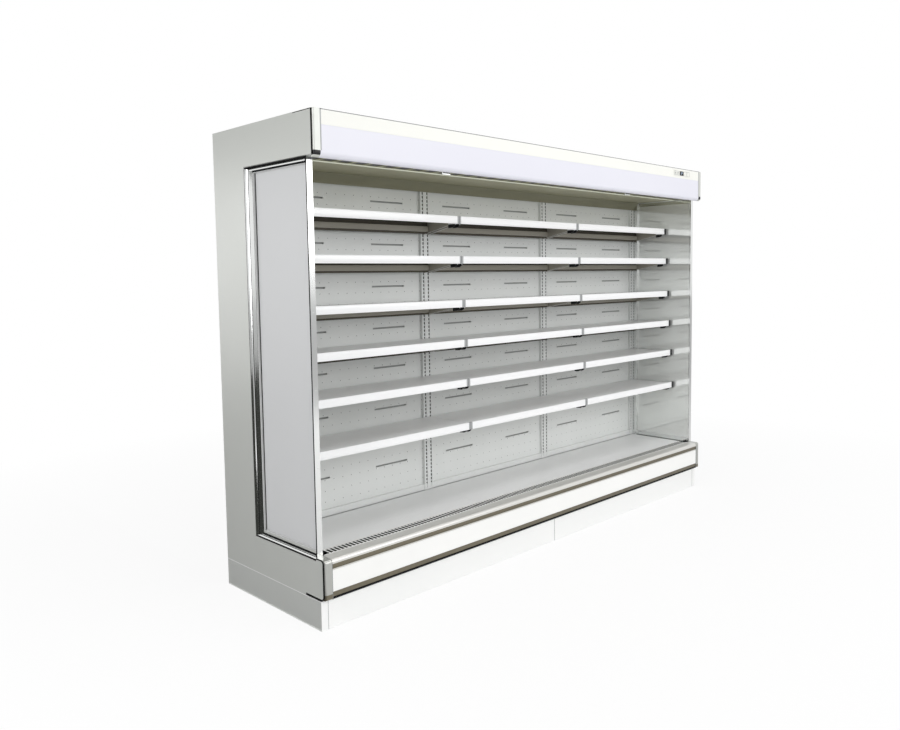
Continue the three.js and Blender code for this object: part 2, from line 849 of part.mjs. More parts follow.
// ---------------------------------------------------------------------------------------------
// Rear duct, uprights and shelves
// ---------------------------------------------------------------------------------------------

const shelfRail = (row) =>
  topShelfRail - slotPitch * rowSteps.slice(0, row).reduce((sum, step) => sum + step, 0);
const shelfFront = (row) => uprightFront + topShelfDepth + row * shelfDepthStep;
const hookHeights = (row) => [0, hookSpacing * slotPitch].map(
  (drop) => shelfRail(row) + hookHeightAboveRail - drop);
const junctions = Array.from(
  { length: bayCount + 1 }, (_, k) => (k - bayCount / 2) * bayWidth);

// A post is a channel, open to the rear. The two end posts are half as wide.
function uprightPost(x) {
  const reach = halfInside - seat;
  const left = Math.max(x - uprightWidth / 2, -reach);
  const right = Math.min(x + uprightWidth / 2, reach);
  const plan = [
    [left, uprightBack],
    [left + sheet, uprightBack],
    [left + sheet, uprightFront - sheet],
    [right - sheet, uprightFront - sheet],
    [right - sheet, uprightBack],
    [right, uprightBack],
    [right, uprightFront],
    [left, uprightFront],
  ];
  return alongZ(plan, deckTop + seat, ceilingHeight - seat);
}

function uprightFrame() {
  const reach = halfInside - seat;
  const posts = junctions.map(uprightPost);
  const rails = [deckTop + seat, ceilingHeight - seat - crossRailHeight].map((z) => block(
    -reach, reach, uprightBack, uprightFront - sheet, z, z + crossRailHeight));
  const slots = [];
  for (const x of junctions.flatMap((at) => [at - slotOffset, at + slotOffset])) {
    for (let row = 0; row < rowCount && Math.abs(x) < halfInside; row += 1) {
      for (const z of hookHeights(row)) {
        slots.push(block(
          x - slotWidth / 2, x + slotWidth / 2, uprightFront - 2 * sheet, uprightFront + sheet,
          z - slotHeight / 2, z + slotHeight / 2));
      }
    }
  }
  return cut(join(...posts, ...rails), ...slots);
}

// The air outlets of the duct panel lie half-way up each shelf space.
function ductBackPanel() {
  const levels = [deckTop, ...Array.from({ length: rowCount }, (_, k) => shelfRail(rowCount - 1 - k))];
  const tops = [...levels.slice(1), ceilingHeight];
  const step = bayWidth / ductSlotsPerBay;
  const slots = levels.flatMap((level, k) => {
    const z = (level + tops[k]) / 2;
    return Array.from({ length: bayCount * ductSlotsPerBay }, (_, n) => {
      const x = -(bayCount * bayWidth) / 2 + (n + 0.5) * step;
      return rectangle(
        x - ductSlotWidth / 2, x + ductSlotWidth / 2,
        z - ductSlotHeight / 2, z + ductSlotHeight / 2);
    });
  });
  const reach = halfInside - seat;
  const front = rectangle(-reach, reach, deckTop, ceilingHeight - seat);
  return towardFront(front, ductFront - sheet, ductFront, slots);
}

// Side view of a shelf: the tray, its rear flange and the price rail at its front.
function shelfSection(row) {
  const rail = shelfRail(row);
  const front = shelfFront(row);
  const rear = uprightFront + trayRearGap;
  const tray = rail + railHeight - trayBelowRail;
  return [
    [rear, tray],
    [front - railDepth, tray],
    [front - railDepth, rail + railHeight],
    [front, rail + railHeight],
    [front, rail + railHeight - railLip],
    [front - railRecess, rail + railHeight - railLip],
    [front - railRecess, rail + railLip],
    [front, rail + railLip],
    [front, rail],
    [front - railDepth, rail],
    [front - railDepth, tray - traySheet],
    [rear + traySheet, tray - traySheet],
    [rear + traySheet, tray - trayRearFlange],
    [rear, tray - trayRearFlange],
  ];
}

// A bracket tapers towards the front and hooks through two slots of its upright.
function shelfBracket(row, x) {
  const rail = shelfRail(row);
  const front = shelfFront(row);
  const tray = rail + railHeight - trayBelowRail - traySheet / 2;
  const rear = uprightFront + seat;
  const behindWeb = uprightFront - sheet - 2 * seat;
  const half = slotHeight / 2 - seat;
  const hooks = hookHeights(row).flatMap((z) => [
    [rear, z + half],
    [uprightFront - hookReach, z + half],
    [uprightFront - hookReach, z - half - hookLip],
    [behindWeb, z - half - hookLip],
    [behindWeb, z - half],
    [rear, z - half],
  ]);
  const section = [
    [rear, tray],
    ...hooks,
    [rear, rail - bracketRearDrop],
    [front - bracketTipSetback - bracketTipLength, rail - bracketTipDrop],
    [front - bracketTipSetback, rail - bracketTipDrop],
    [front - bracketTipSetback, tray],
  ];
  return alongX(section, x - sheet / 2, x + sheet / 2);
}

// The folded cheek closes the shelf's end, from the tray out to the bay boundary.
function shelfCheek(row, side) {
  const rail = shelfRail(row);
  const front = shelfFront(row);
  const top = rail + railHeight;
  const rear = uprightFront + trayRearGap;
  const tray = top - trayBelowRail;
  const inner = (bayWidth - junctionGap) / 2 - traySheet / 2;
  const outer = bayWidth / 2 - cheekGap;
  const low = Math.min(side * inner, side * outer);
  const high = Math.max(side * inner, side * outer);
  const webLow = side > 0 ? high - traySheet : low;
  return [
    block(low, high, rear, front, tray - traySheet, tray),
    block(webLow, webLow + traySheet, rear, front, rail, tray),
    block(low, high, front - traySheet, front, rail, top),
  ];
}

function shelf(row) {
  const half = (bayWidth - junctionGap) / 2;
  const bracketX = bayWidth / 2 - slotOffset;
  return join(
    alongX(shelfSection(row), -half, half),
    ...shelfCheek(row, -1),
    ...shelfCheek(row, 1),
    shelfBracket(row, -bracketX),
    shelfBracket(row, bracketX));
}

addPiece('upright_frame', uprightFrame(), 'whitePaint');
addPiece('duct_back_panel', ductBackPanel(), 'whitePaint');
for (let row = 0; row < rowCount; row += 1) {
  const geometry = shelf(row);
  for (let bay = 0; bay < bayCount; bay += 1) {
    const piece = addPiece(`shelf_row${row + 1}_bay${bay + 1}`, geometry.clone(), 'whitePaint');
    piece.position.x = bayCentre(bay);
  }
}

// ---------------------------------------------------------------------------------------------
// Deck, return grille and fans
// ---------------------------------------------------------------------------------------------

const deckRear = uprightFront + trayRearGap;

function deckTray() {
  const section = [
    [deckRear, deckTop],
    [deckFront, deckTop],
    [deckFront, deckTop - deckFlange],
    [deckFront - deckSheet, deckTop - deckFlange],
    [deckFront - deckSheet, deckTop - deckSheet],
    [deckRear + deckSheet, deckTop - deckSheet],
    [deckRear + deckSheet, deckTop - deckFlange],
    [deckRear, deckTop - deckFlange],
  ];
  return alongX(section, -(bayWidth - deckGap) / 2, (bayWidth - deckGap) / 2);
}

// The return grille bridges the deck's front edge and the tub's front wall.
function returnGrille() {
  const reach = halfInside - seat;
  const front = bumperPlateFromRear - seat;
  const rear = deckFront + seat;
  const count = Math.floor((2 * reach - grilleSlotWidth) / grilleSlotPitch);
  const slots = Array.from({ length: count }, (_, k) => {
    const x = (k - (count - 1) / 2) * grilleSlotPitch;
    const half = grilleSlotWidth / 2;
    return rectangle(x - half, x + half, rear + grilleEdge, front - grilleEdge);
  });
  const plan = rectangle(-reach, reach, rear, front);
  return alongZ(plan, deckTop - grilleThickness, deckTop, slots);
}

const fanTilt = Math.atan2(fanPlateRearHeight - fanPlateFrontHeight, fanPlateFront - fanPlateRear);
const fanPlateLength = Math.hypot(
  fanPlateRearHeight - fanPlateFrontHeight, fanPlateFront - fanPlateRear);
const motorFace = fanRotorHeight / 2 + fanMotorGap;
const motorBack = motorFace + fanMotorHeight;

// A frame on the tilted fan plate: local +Z is the fans' axis, pointing up and to the front.
function onFanPlate(x) {
  const frame = new THREE.Group();
  frame.position.set(
    x, yAt((fanPlateRear + fanPlateFront) / 2), (fanPlateRearHeight + fanPlateFrontHeight) / 2);
  frame.rotation.x = fanTilt;
  frame.updateMatrix();
  return frame;
}

// One fan's motor on its three arms, with the shaft that carries the rotor.
function fanMotor() {
  const shaft = disc(
    fanShaftRadius, -fanRotorHeight / 2, motorFace + fanMotorHeight / 2, pinSides);
  const armEnd = fanHoleRadius + fanArmWidth;
  const arms = Array.from({ length: fanArmCount }, (_, k) => {
    const angle = (k * 2 * Math.PI) / fanArmCount;
    const bar = new THREE.BoxGeometry(armEnd, fanArmWidth, sheet);
    bar.translate(armEnd / 2, 0, motorBack - sheet / 2);
    const leg = new THREE.BoxGeometry(sheet, fanArmWidth, motorBack);
    leg.translate(armEnd - sheet / 2, 0, motorBack / 2);
    return join(bar, leg).rotateZ(angle - Math.PI / 2);
  });
  return join(disc(fanMotorRadius, motorFace, motorBack), shaft, ...arms);
}

function fanRotor() {
  const bore = fanShaftRadius + fanShaftClearance;
  const half = fanRotorHeight / 2;
  const ring = [[bore, -half], [fanHubRadius, -half], [fanHubRadius, half], [bore, half]];
  const hub = turned([...ring, ring[0]], pinSides);
  const tip = fanHoleRadius - fanTipClearance;
  const bladeLength = tip - fanHubRadius + fanBladeThickness;
  const width = fanRotorHeight - fanBladeThickness;
  const blades = Array.from({ length: fanBladeCount }, (_, k) => {
    const blade = new THREE.BoxGeometry(bladeLength, fanBladeThickness, width);
    blade.rotateX(THREE.MathUtils.degToRad(fanBladeTwist));
    blade.translate(tip - bladeLength / 2 - fanBladeThickness, 0, 0);
    return blade.rotateZ((k * 2 * Math.PI) / fanBladeCount);
  });
  return join(hub, ...blades);
}

// The fan deck: the tilted plate, the ribs that carry the trays and the bearer of the grille.
function fanDeck() {
  const reach = halfInside - seat;
  const middle = onFanPlate(0);
  const half = fanPlateLength / 2;
  const holes = Array.from({ length: bayCount }, (_, bay) => Array.from(
    { length: circleSides }, (_, k) => {
      const angle = (k * 2 * Math.PI) / circleSides;
      return [
        bayCentre(bay) + fanHoleRadius * Math.cos(angle), fanHoleRadius * Math.sin(angle)];
    }));
  const flat = extrude(rectangle(-reach, reach, -half, half), holes, sheet, [axisX, axisY, axisZ]);
  const plate = flat.applyMatrix4(middle.matrix);
  const motors = Array.from({ length: bayCount }, (_, bay) =>
    fanMotor().applyMatrix4(onFanPlate(bayCentre(bay)).matrix));
  const ribSection = [
    [deckRear + deckSheet + seat, floorTopAt(deckRear) + 2 * seat],
    [deckFront + bearerDepth, floorTopAt(deckFront + bearerDepth) + 2 * seat],
    [deckFront + bearerDepth, deckTop - grilleThickness - seat],
    [deckFront + seat, deckTop - grilleThickness - seat],
    [deckFront + seat, deckTop - deckFlange - 2 * seat],
    [deckFront - deckSheet - seat, deckTop - deckFlange - 2 * seat],
    [deckFront - deckSheet - seat, deckTop - deckSheet - seat],
    [deckRear + deckSheet + seat, deckTop - deckSheet - seat],
  ];
  const ribs = junctions.map((x) => {
    const left = Math.max(x - deckRib / 2, -reach);
    return alongX(ribSection, left, Math.min(x + deckRib / 2, reach));
  });
  const bearer = block(
    -reach, reach, deckFront + seat, deckFront + bearerDepth,
    deckTop - grilleThickness - seat - bearerHeight, deckTop - grilleThickness - seat);
  return join(plate, ...motors, ...ribs, bearer);
}

for (let bay = 0; bay < bayCount; bay += 1) {
  const tray = addPiece(`deck_tray_bay${bay + 1}`, deckTray(), 'whitePaint');
  tray.position.x = bayCentre(bay);
}
addPiece('return_grille', returnGrille(), 'brushedAluminium');
addPiece('fan_deck', fanDeck(), 'galvanised');
for (let bay = 0; bay < bayCount; bay += 1) {
  const frame = onFanPlate(bayCentre(bay));
  fridge.add(frame);
  addPiece(`fan_rotor_bay${bay + 1}`, fanRotor(), 'blackPlastic', frame);
}

// ---------------------------------------------------------------------------------------------
// Evaporator
// ---------------------------------------------------------------------------------------------

// A finned coil between two end plates, which hang it on the back wall.
function evaporatorCoil() {
  const half = halfInside - coilEndGap;
  const back = backWall + coilBackGap;
  const front = back + coilDepth;
  const count = Math.floor((2 * half - coilFinWidth) / coilFinPitch);
  const gaps = Array.from({ length: count }, (_, k) => {
    const x = (k - (count - 1) / 2) * coilFinPitch;
    const reach = (coilFinPitch - coilFinWidth) / 2;
    return block(
      x - reach, x + reach, back + coilSpine, front + overcut,
      coilBottom - overcut, coilBottom + coilHeight + overcut);
  });
  const fins = cut(block(-half, half, back, front, coilBottom, coilBottom + coilHeight), ...gaps);
  const plates = [-half, half - coilEndPlate].map((x) => block(
    x, x + coilEndPlate, backWall + seat, front,
    coilBottom - coilPlateMargin, coilBottom + coilHeight + coilPlateMargin));
  return join(fins, ...plates);
}

addPiece('evaporator_coil', evaporatorCoil(), 'finStock');

export default fridge;
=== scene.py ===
"""An open multideck display fridge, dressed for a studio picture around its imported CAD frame.

Every length written here is in millimetres unless a name says otherwise. Distances called "from the
rear" run from the back face of the cabinet to its front, as in the part's source. X runs to the
shopper's right, Z is up, and the front faces -Y.
"""

from __future__ import annotations

import json
import logging
import math
from collections.abc import Iterable, Sequence
from dataclasses import dataclass, field
from enum import Enum

import bpy
import numpy as np
from mathutils import Matrix, Vector

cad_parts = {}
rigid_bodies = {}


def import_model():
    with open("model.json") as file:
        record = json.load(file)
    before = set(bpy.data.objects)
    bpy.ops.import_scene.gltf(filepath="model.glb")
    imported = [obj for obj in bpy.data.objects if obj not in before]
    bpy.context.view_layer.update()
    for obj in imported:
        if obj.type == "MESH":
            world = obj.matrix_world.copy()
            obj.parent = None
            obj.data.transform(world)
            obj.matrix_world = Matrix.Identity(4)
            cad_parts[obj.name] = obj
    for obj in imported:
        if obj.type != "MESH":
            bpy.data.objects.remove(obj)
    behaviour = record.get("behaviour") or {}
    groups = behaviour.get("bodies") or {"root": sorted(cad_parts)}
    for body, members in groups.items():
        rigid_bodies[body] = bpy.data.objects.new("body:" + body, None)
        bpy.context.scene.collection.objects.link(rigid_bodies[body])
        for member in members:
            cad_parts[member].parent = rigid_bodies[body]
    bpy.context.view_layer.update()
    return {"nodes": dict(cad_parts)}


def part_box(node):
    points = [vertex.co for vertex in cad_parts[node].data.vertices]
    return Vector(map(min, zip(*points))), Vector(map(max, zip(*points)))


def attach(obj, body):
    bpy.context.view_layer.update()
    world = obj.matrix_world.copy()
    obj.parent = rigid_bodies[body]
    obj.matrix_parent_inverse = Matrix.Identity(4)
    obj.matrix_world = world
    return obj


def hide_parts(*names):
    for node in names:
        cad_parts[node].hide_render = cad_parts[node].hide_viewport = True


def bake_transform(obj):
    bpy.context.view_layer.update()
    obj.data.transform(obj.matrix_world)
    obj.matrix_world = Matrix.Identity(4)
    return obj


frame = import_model()
LOG = logging.getLogger("fridge")

MM = 0.001
DEPTH = 750.0
SEAT = 0.3

Pair = tuple[float, float]
Point = tuple[float, float, float]
Loop = Sequence[Pair]
Socket = bpy.types.NodeSocket


# ---- Shapes ----


@dataclass
class Shape:
    """A mesh in the making: vertices in metres and faces as vertex indices, facing outwards."""

    vertices: np.ndarray
    faces: list[list[int]]

    @staticmethod
    def gather(parts: Iterable[Shape]) -> Shape:
        """Puts several shapes into one, with their indices carried on.

        Args:
            parts: the shapes.

        Returns:
            One shape that holds them all.
        """
        vertices: list[np.ndarray] = []
        faces: list[list[int]] = []
        start = 0
        for part in parts:
            vertices.append(part.vertices)
            faces.extend([start + k for k in face] for face in part.faces)
            start += len(part.vertices)
        return Shape(np.concatenate(vertices), faces)

    def mirrored(self) -> Shape:
        """The shape seen in a mirror across the cabinet's middle, still facing outwards."""
        flipped = self.vertices * np.array([-1.0, 1.0, 1.0])
        return Shape(flipped, [face[::-1] for face in self.faces])


def signed_area(loop: np.ndarray) -> float:
    """Half the sum of the cross products of neighbouring points: positive if counter-clockwise."""
    ahead = np.roll(loop, -1, axis=0)
    return float(np.sum(loop[:, 0] * ahead[:, 1] - ahead[:, 0] * loop[:, 1]) / 2)


def loft(rings: np.ndarray, clockwise: bool = False) -> Shape:
    """Joins matching outlines one to the next with walls and closes both ends.

    Point k of ring j is vertex j * n + k, and each wall face joins points k and k + 1 of one ring
    to the same two of the next.

    Args:
        rings: m x n x 3 points, each ring counter-clockwise seen from the last one's side.
        clockwise: true where the rings run the other way round.

    Returns:
        The closed shape.
    """
    count = rings.shape[1]
    at = np.arange(count)
    ahead = (at + 1) % count
    first, last = at[::-1], at + (len(rings) - 1) * count
    if clockwise:
        at, ahead, first, last = ahead, at, first[::-1], last[::-1]
    steps = np.arange(len(rings) - 1)[:, None] * count
    wall = np.stack([steps + at, steps + ahead, steps + ahead + count, steps + at + count], axis=-1)
    faces = [*wall.reshape(-1, 4).tolist(), first.tolist(), last.tolist()]
    return Shape(rings.reshape(-1, 3) * MM, faces)


def along_x(
    section: Loop, start: float, end: float, across: float = 0.0, deep: float = 0.0
) -> Shape:
    """Carries a side-view section along the cabinet, and can round its front off at the end.

    A section point (r, z) becomes (x, DEPTH / 2 - r, z) at x = start and x = end. A rounded end has
    stations at x = end - across * (1 - sin a) for an angle a from 0 to 90 degrees, where no point
    lies further from the rear than the front minus deep * (1 - cos a).

    Args:
        section: closed outline of (from the rear, height) points.
        start: left end.
        end: right end.
        across: how far a rounding reaches back along the cabinet, or 0 for a flat end.
        deep: how far back it takes the front.

    Returns:
        The closed shape.
    """
    points = np.asarray(section, float)
    if signed_area(points) > 0:
        points = points[::-1]
    turn = np.radians(np.linspace(0, 90, 9) if across else np.array([90.0]))
    front = points[:, 0].max()
    x = np.concatenate([[start], end - across * (1 - np.sin(turn))])
    limit = np.concatenate([[front], front - deep * (1 - np.cos(turn))])
    rear = np.minimum(points[:, 0], limit[:, None])
    along = np.broadcast_to(x[:, None], rear.shape)
    height = np.broadcast_to(points[:, 1], rear.shape)
    return loft(np.stack([along, DEPTH / 2 - rear, height], axis=-1))


def slab(x: Sequence[float], rear: Pair, z: Pair) -> Shape:
    """A right-angled block between pairs of x, from-the-rear and height limits."""
    return along_x(rectangle(rear, z), *x)


def rectangle(rear: Pair, z: Pair) -> Loop:
    """The side-view section of a right-angled block."""
    (r0, r1), (z0, z1) = rear, z
    return [(r0, z0), (r1, z0), (r1, z1), (r0, z1)]


def film(face: float) -> Pair:
    """From-the-rear limits of a thin skin that is laid on a face."""
    return face + 0.05, face + 0.5


def stud(x: float, z: float, rear: float, radius: float, rise: float) -> Shape:
    """A low twelve-sided screw head that stands out to the front by rise at (x, rear, z).

    Args:
        x: its middle.
        z: its height.
        rear: where its base lies, from the rear.
        radius: the base's radius.
        rise: how far it stands out.

    Returns:
        The closed shape.
    """
    turn = np.linspace(0, 2 * math.pi, 12, endpoint=False)
    rings = [
        np.column_stack([x + r * np.cos(turn), np.full(12, DEPTH / 2 - y), z + r * np.sin(turn)])
        for r, y in ((radius, rear), (radius * 0.7, rear + rise))
    ]
    return loft(np.stack(rings))


def placed(rear: float, z: float, points: Loop) -> Loop:
    """Section points that are written from a corner, moved to where the corner lies."""
    return [(rear + r, z + h) for r, h in points]


def arc(centre: Pair, radius: float, start: float, end: float, steps: int = 10) -> Loop:
    """Points of a circle arc in the side view: centre + radius * (cos a, sin a).

    Args:
        centre: (from the rear, height) of the centre.
        radius: its radius.
        start: first angle in degrees, 0 towards the front and 90 up.
        end: last angle.
        steps: number of chords.

    Returns:
        steps + 1 points.
    """
    angles = np.radians(np.linspace(start, end, steps + 1))
    return [(centre[0] + radius * math.cos(a), centre[1] + radius * math.sin(a)) for a in angles]


def plate(
    u: Sequence[float],
    v: Sequence[float],
    openings: np.ndarray,
    face: float,
    thickness: float,
    to_the_end: bool = False,
) -> Shape:
    """An upright plate made of the cells of a grid, some of which are openings with walls.

    Both sides get a face for every closed cell, and a wall stands wherever a closed cell meets an
    open one or the rim. Grid point (u, v) lies w = 0 in front of the plate's face or -thickness
    behind it: at x = u, face + w from the rear and z = v where it looks to the front, and at
    x = face + w, u from the rear and z = v where it looks to the end.

    Args:
        u: grid lines across.
        v: grid lines up.
        openings: true for the cells that are open, one row for each column of the grid.
        face: where its face lies.
        thickness: plate thickness.
        to_the_end: true if it looks to the cabinet's right-hand end.

    Returns:
        The closed shape.
    """
    rows = len(v)
    across, up = (np.tile(grid.ravel(), 2) for grid in np.meshgrid(u, v, indexing="ij"))
    count = len(across) // 2
    level = face + np.repeat([0.0, -thickness], count)
    x, rear = (level, across) if to_the_end else (across, level)
    points = np.column_stack([x, DEPTH / 2 - rear, up]) * MM

    i, j = np.nonzero(~openings)
    corner = i * rows + j
    top = np.stack([corner, corner + rows, corner + rows + 1, corner + 1], axis=1)
    faces = [top, top[:, ::-1] + count]
    closed = np.pad(~openings, 1).astype(int)
    for change, step, way in (
        (closed[:-1, 1:-1] - closed[1:, 1:-1], 1, 1),
        (closed[1:-1, :-1] - closed[1:-1, 1:], rows, -1),
    ):
        i, j = np.nonzero(change)
        low = i * rows + j
        wall = np.stack([low, low + step, low + step + count, low + count], axis=1)
        turn = change[i, j] * way > 0
        faces.append(np.where(turn[:, None], wall[:, ::-1], wall))
    every = np.concatenate(faces)
    used, compact = np.unique(every, return_inverse=True)
    every = compact.reshape(every.shape)
    if to_the_end:
        every = every[:, ::-1]
    return Shape(points[used], every.tolist())


class Crest(Enum):
    """How a strip's face rises across it, from its outer edge to its inner one."""

    DOME = "half an ellipse"
    CROWN = "nearly flat"
    FLAT = "flat"
    OUTER = "highest at the outer edge"
    INNER = "highest at the inner edge"

    def section(self, base: float, rise: float) -> np.ndarray:
        """The strip's outline as (share across, x) points.

        With t the share across, the face stands at base + rise * h(t): h is sin(pi t) for a dome,
        1 - 0.25 (2t - 1)^2 for a crown, 1 for a flat strip, and 1 - 0.85 t or 0.15 + 0.85 t for
        the two slopes.

        Args:
            base: x of the strip's underside.
            rise: how far its highest line stands out from there.

        Returns:
            Eleven points, clockwise.
        """
        share = np.linspace(0, 1, 9)
        height = {
            Crest.DOME: np.maximum(np.sin(math.pi * share), 0.03),
            Crest.CROWN: 1 - 0.25 * (2 * share - 1) ** 2,
            Crest.FLAT: np.ones(9),
            Crest.OUTER: 1 - 0.85 * share,
            Crest.INNER: 0.15 + 0.85 * share,
        }[self]
        face = np.column_stack([share, base + rise * height])
        return np.vstack([[0.0, base], face, [1.0, base]])


def round_three_sides(
    sections: Sequence[np.ndarray], outline: tuple[float, ...], spans: Sequence[Pair]
) -> Shape:
    """Carries sections along the bottom, rear and top of an upright rectangle, mitred.

    A section point (t, x) lies a share t of the way across the strip, so that on each side its
    inset from the outline is first + t * (last - first) of that side's span.

    Args:
        sections: the outlines on the bottom, the rear and the top, clockwise.
        outline: the rectangle's rear, front, bottom and top.
        spans: first and last inset of the strip on the bottom, the rear and the top.

    Returns:
        The closed shape, its open ends at the front.
    """
    rear, front, low, high = outline

    def inset(side: int, other: int) -> np.ndarray:
        """Insets on one side of the points of another side's section."""
        first, last = spans[side]
        return first + sections[other][:, 0] * (last - first)

    ends = np.full(len(sections[0]), front)
    stations = [
        (ends, low + inset(0, 0), 0),
        (rear + inset(1, 0), low + inset(0, 0), 0),
        (rear + inset(1, 1), low + inset(0, 1), 1),
        (rear + inset(1, 1), high - inset(2, 1), 1),
        (rear + inset(1, 2), high - inset(2, 2), 2),
        (ends, high - inset(2, 2), 2),
    ]
    rings = [np.column_stack([sections[k][:, 1], DEPTH / 2 - r, z]) for r, z, k in stations]
    return loft(np.stack(rings), clockwise=True)


def turned(profile: Loop, rear: float, height: float, sides: int = 48) -> Shape:
    """Turns a profile about an axis along X.

    A profile point (x, r) becomes the ring (x, y0 + r cos a, z0 + r sin a) for a in 0 to 2 pi, and
    the first and last rings are closed by a flat face.

    Args:
        profile: (x, radius) points from left to right.
        rear: the axis, from the rear.
        height: the axis, above the floor.
        sides: number of sides.

    Returns:
        The closed shape.
    """
    points = np.asarray(profile, float)
    turn = np.linspace(0, 2 * math.pi, sides, endpoint=False)
    y = DEPTH / 2 - rear + points[:, 1:] * np.cos(turn)
    z = height + points[:, 1:] * np.sin(turn)
    return loft(np.stack([np.broadcast_to(points[:, :1], y.shape), y, z], axis=-1))


# ---- Finishes ----


def linear(colour: str) -> tuple[float, float, float, float]:
    """Turns an sRGB hex colour such as "#b8bab6" to linear RGBA.

    Args:
        colour: the colour.

    Returns:
        Its linear red, green and blue, and 1 for alpha.
    """
    channels = [int(colour[k : k + 2], 16) / 255 for k in (1, 3, 5)]
    curve = [c / 12.92 if c <= 0.04045 else ((c + 0.055) / 1.055) ** 2.4 for c in channels]
    return (curve[0], curve[1], curve[2], 1.0)


@dataclass
class Graph:
    """A node tree, with the nodes that the finishes and the studio share."""

    tree: bpy.types.NodeTree

    @property
    def inputs(self) -> bpy.types.NodeInputs:
        """The inputs of the main shader."""
        return self.tree.nodes["Principled BSDF"].inputs

    def add(
        self, kind: str, inputs: dict[str | int, object] | None = None, **settings: object
    ) -> bpy.types.Node:
        """Adds one node with its settings and links.

        Args:
            kind: the node's type after its ShaderNode prefix, such as "TexNoise".
            inputs: socket name or number to a value, or to another node's output to link.
            **settings: the node's own properties.

        Returns:
            The node.
        """
        node = self.tree.nodes.new(f"ShaderNode{kind}")
        for name, value in settings.items():
            setattr(node, name, value)
        for key, value in (inputs or {}).items():
            if isinstance(value, Socket):
                self.tree.links.new(value, node.inputs[key])
            else:
                node.inputs[key].default_value = value
        return node

    def place(self) -> Socket:
        """Object coordinates, which hold a pattern in place on its piece."""
        return self.add("TexCoord").outputs["Object"]

    def axes(self, place: Socket) -> bpy.types.Node:
        """A node that gives the X, Y and Z of some coordinates."""
        return self.add("SeparateXYZ", {"Vector": place})

    def noise(self, place: Socket, width: float, detail: float) -> Socket:
        """Soft noise with patches of a width in millimetres."""
        inputs = {"Vector": place, "Scale": 1 / (width * MM), "Detail": detail}
        return self.add("TexNoise", inputs).outputs["Fac"]

    def sum(self, operation: str, a: object, b: object, **settings: object) -> Socket:
        """The result of a sum on two values."""
        return self.add("Math", {0: a, 1: b}, operation=operation, **settings).outputs[0]

    def colour(self, share: Socket, first: object, second: object) -> None:
        """Mixes the shader's colour from two, by a share of the second."""
        mix = self.add("Mix", {0: share, 6: first, 7: second}, data_type="RGBA")
        self.tree.links.new(mix.outputs[2], self.inputs["Base Color"])

    def paint(self, share: Socket, colour: str) -> None:
        """Lays a colour over the shader's own wherever a share is 1."""
        before = self.inputs["Base Color"].links[0].from_socket
        self.colour(share, before, linear(colour))

    def roughness(self, value: Socket, middle: float, spread: float) -> None:
        """Lets the roughness drift about its middle with a value from 0 to 1.

        Args:
            value: a value from 0 to 1.
            middle: the middle roughness.
            spread: how far it drifts either way.
        """
        limits = {"Value": value, "To Min": middle - spread, "To Max": middle + spread}
        drift = self.add("MapRange", limits).outputs["Result"]
        self.tree.links.new(drift, self.inputs["Roughness"])

    def bump(self, height: Socket, strength: float, distance: float) -> None:
        """Tilts the surface by a height that stands for a distance in metres.

        Args:
            height: the height, from 0 to 1.
            strength: how much of it shows.
            distance: the depth, in metres.
        """
        inputs = {"Height": height, "Strength": strength, "Distance": distance}
        normal = self.add("Bump", inputs).outputs["Normal"]
        self.tree.links.new(normal, self.inputs["Normal"])


class Grain(Enum):
    """Which way the brush lines or streaks of a metal run."""

    ALONG_X = (0.02, 1.0, 1.0)
    ALONG_Y = (1.0, 0.02, 1.0)
    ALONG_Z = (1.0, 1.0, 0.02)


@dataclass(frozen=True)
class Finish:
    """What every finish has: a name, its colour, how it reflects and the shade it drifts to."""

    name: str
    colour: str
    roughness: float
    metallic: float = 0.0
    shade: str = "#e9ebea"

    def material(self) -> bpy.types.Material:
        """The finish as a material, made once and then shared.

        Returns:
            The material.
        """
        known = bpy.data.materials.get(self.name)
        if known is not None:
            return known
        material = bpy.data.materials.new(self.name)
        material.use_nodes = True
        graph = Graph(material.node_tree)
        graph.inputs["Base Color"].default_value = linear(self.colour)
        graph.inputs["Roughness"].default_value = self.roughness
        graph.inputs["Metallic"].default_value = self.metallic
        material.diffuse_color = linear(self.colour)
        self.detail(graph)
        return material

    def detail(self, graph: Graph) -> None:
        """Adds the finish's own pattern to the shader."""

    def mottled(self, graph: Graph, width: float, spread: float) -> Socket:
        """Lets colour and roughness drift softly over the surface.

        Args:
            graph: the material's nodes.
            width: width of a patch in millimetres.
            spread: how far the roughness drifts either way.

        Returns:
            The object coordinates that the pattern reads.
        """
        place = graph.place()
        noise = graph.noise(place, width, 3.0)
        graph.colour(noise, linear(self.colour), linear(self.shade))
        graph.roughness(noise, self.roughness, spread)
        return place


@dataclass(frozen=True)
class PowderCoat(Finish):
    """Polyester powder on steel: nearly even, with a faint orange peel that softens glints."""

    peel: float = 3.0
    depth: float = 0.12

    def detail(self, graph: Graph) -> None:
        """Adds patches 260 mm wide and the orange peel, drawn 3 mm wide so that it shows."""
        place = self.mottled(graph, 260, 0.05)
        graph.bump(graph.noise(place, self.peel, 1.0), self.depth, 0.0002)


@dataclass(frozen=True)
class BrushedMetal(Finish):
    """Brushed or extruded metal: fine lines one way, which stretch every highlight across them."""

    grain: Grain = Grain.ALONG_X
    line: float = 1.6
    depth: float = 0.2

    def detail(self, graph: Graph) -> None:
        """Adds the brush lines: 0.2 mm apart in fact, and drawn coarser so that they show.

        Args:
            graph: the material's nodes.
        """
        place = self.mottled(graph, 420, 0.05)
        stretched = graph.add("Mapping", {"Vector": place, "Scale": self.grain.value})
        lines = graph.noise(stretched.outputs["Vector"], self.line, 2.0)
        graph.bump(lines, self.depth, 0.0001)


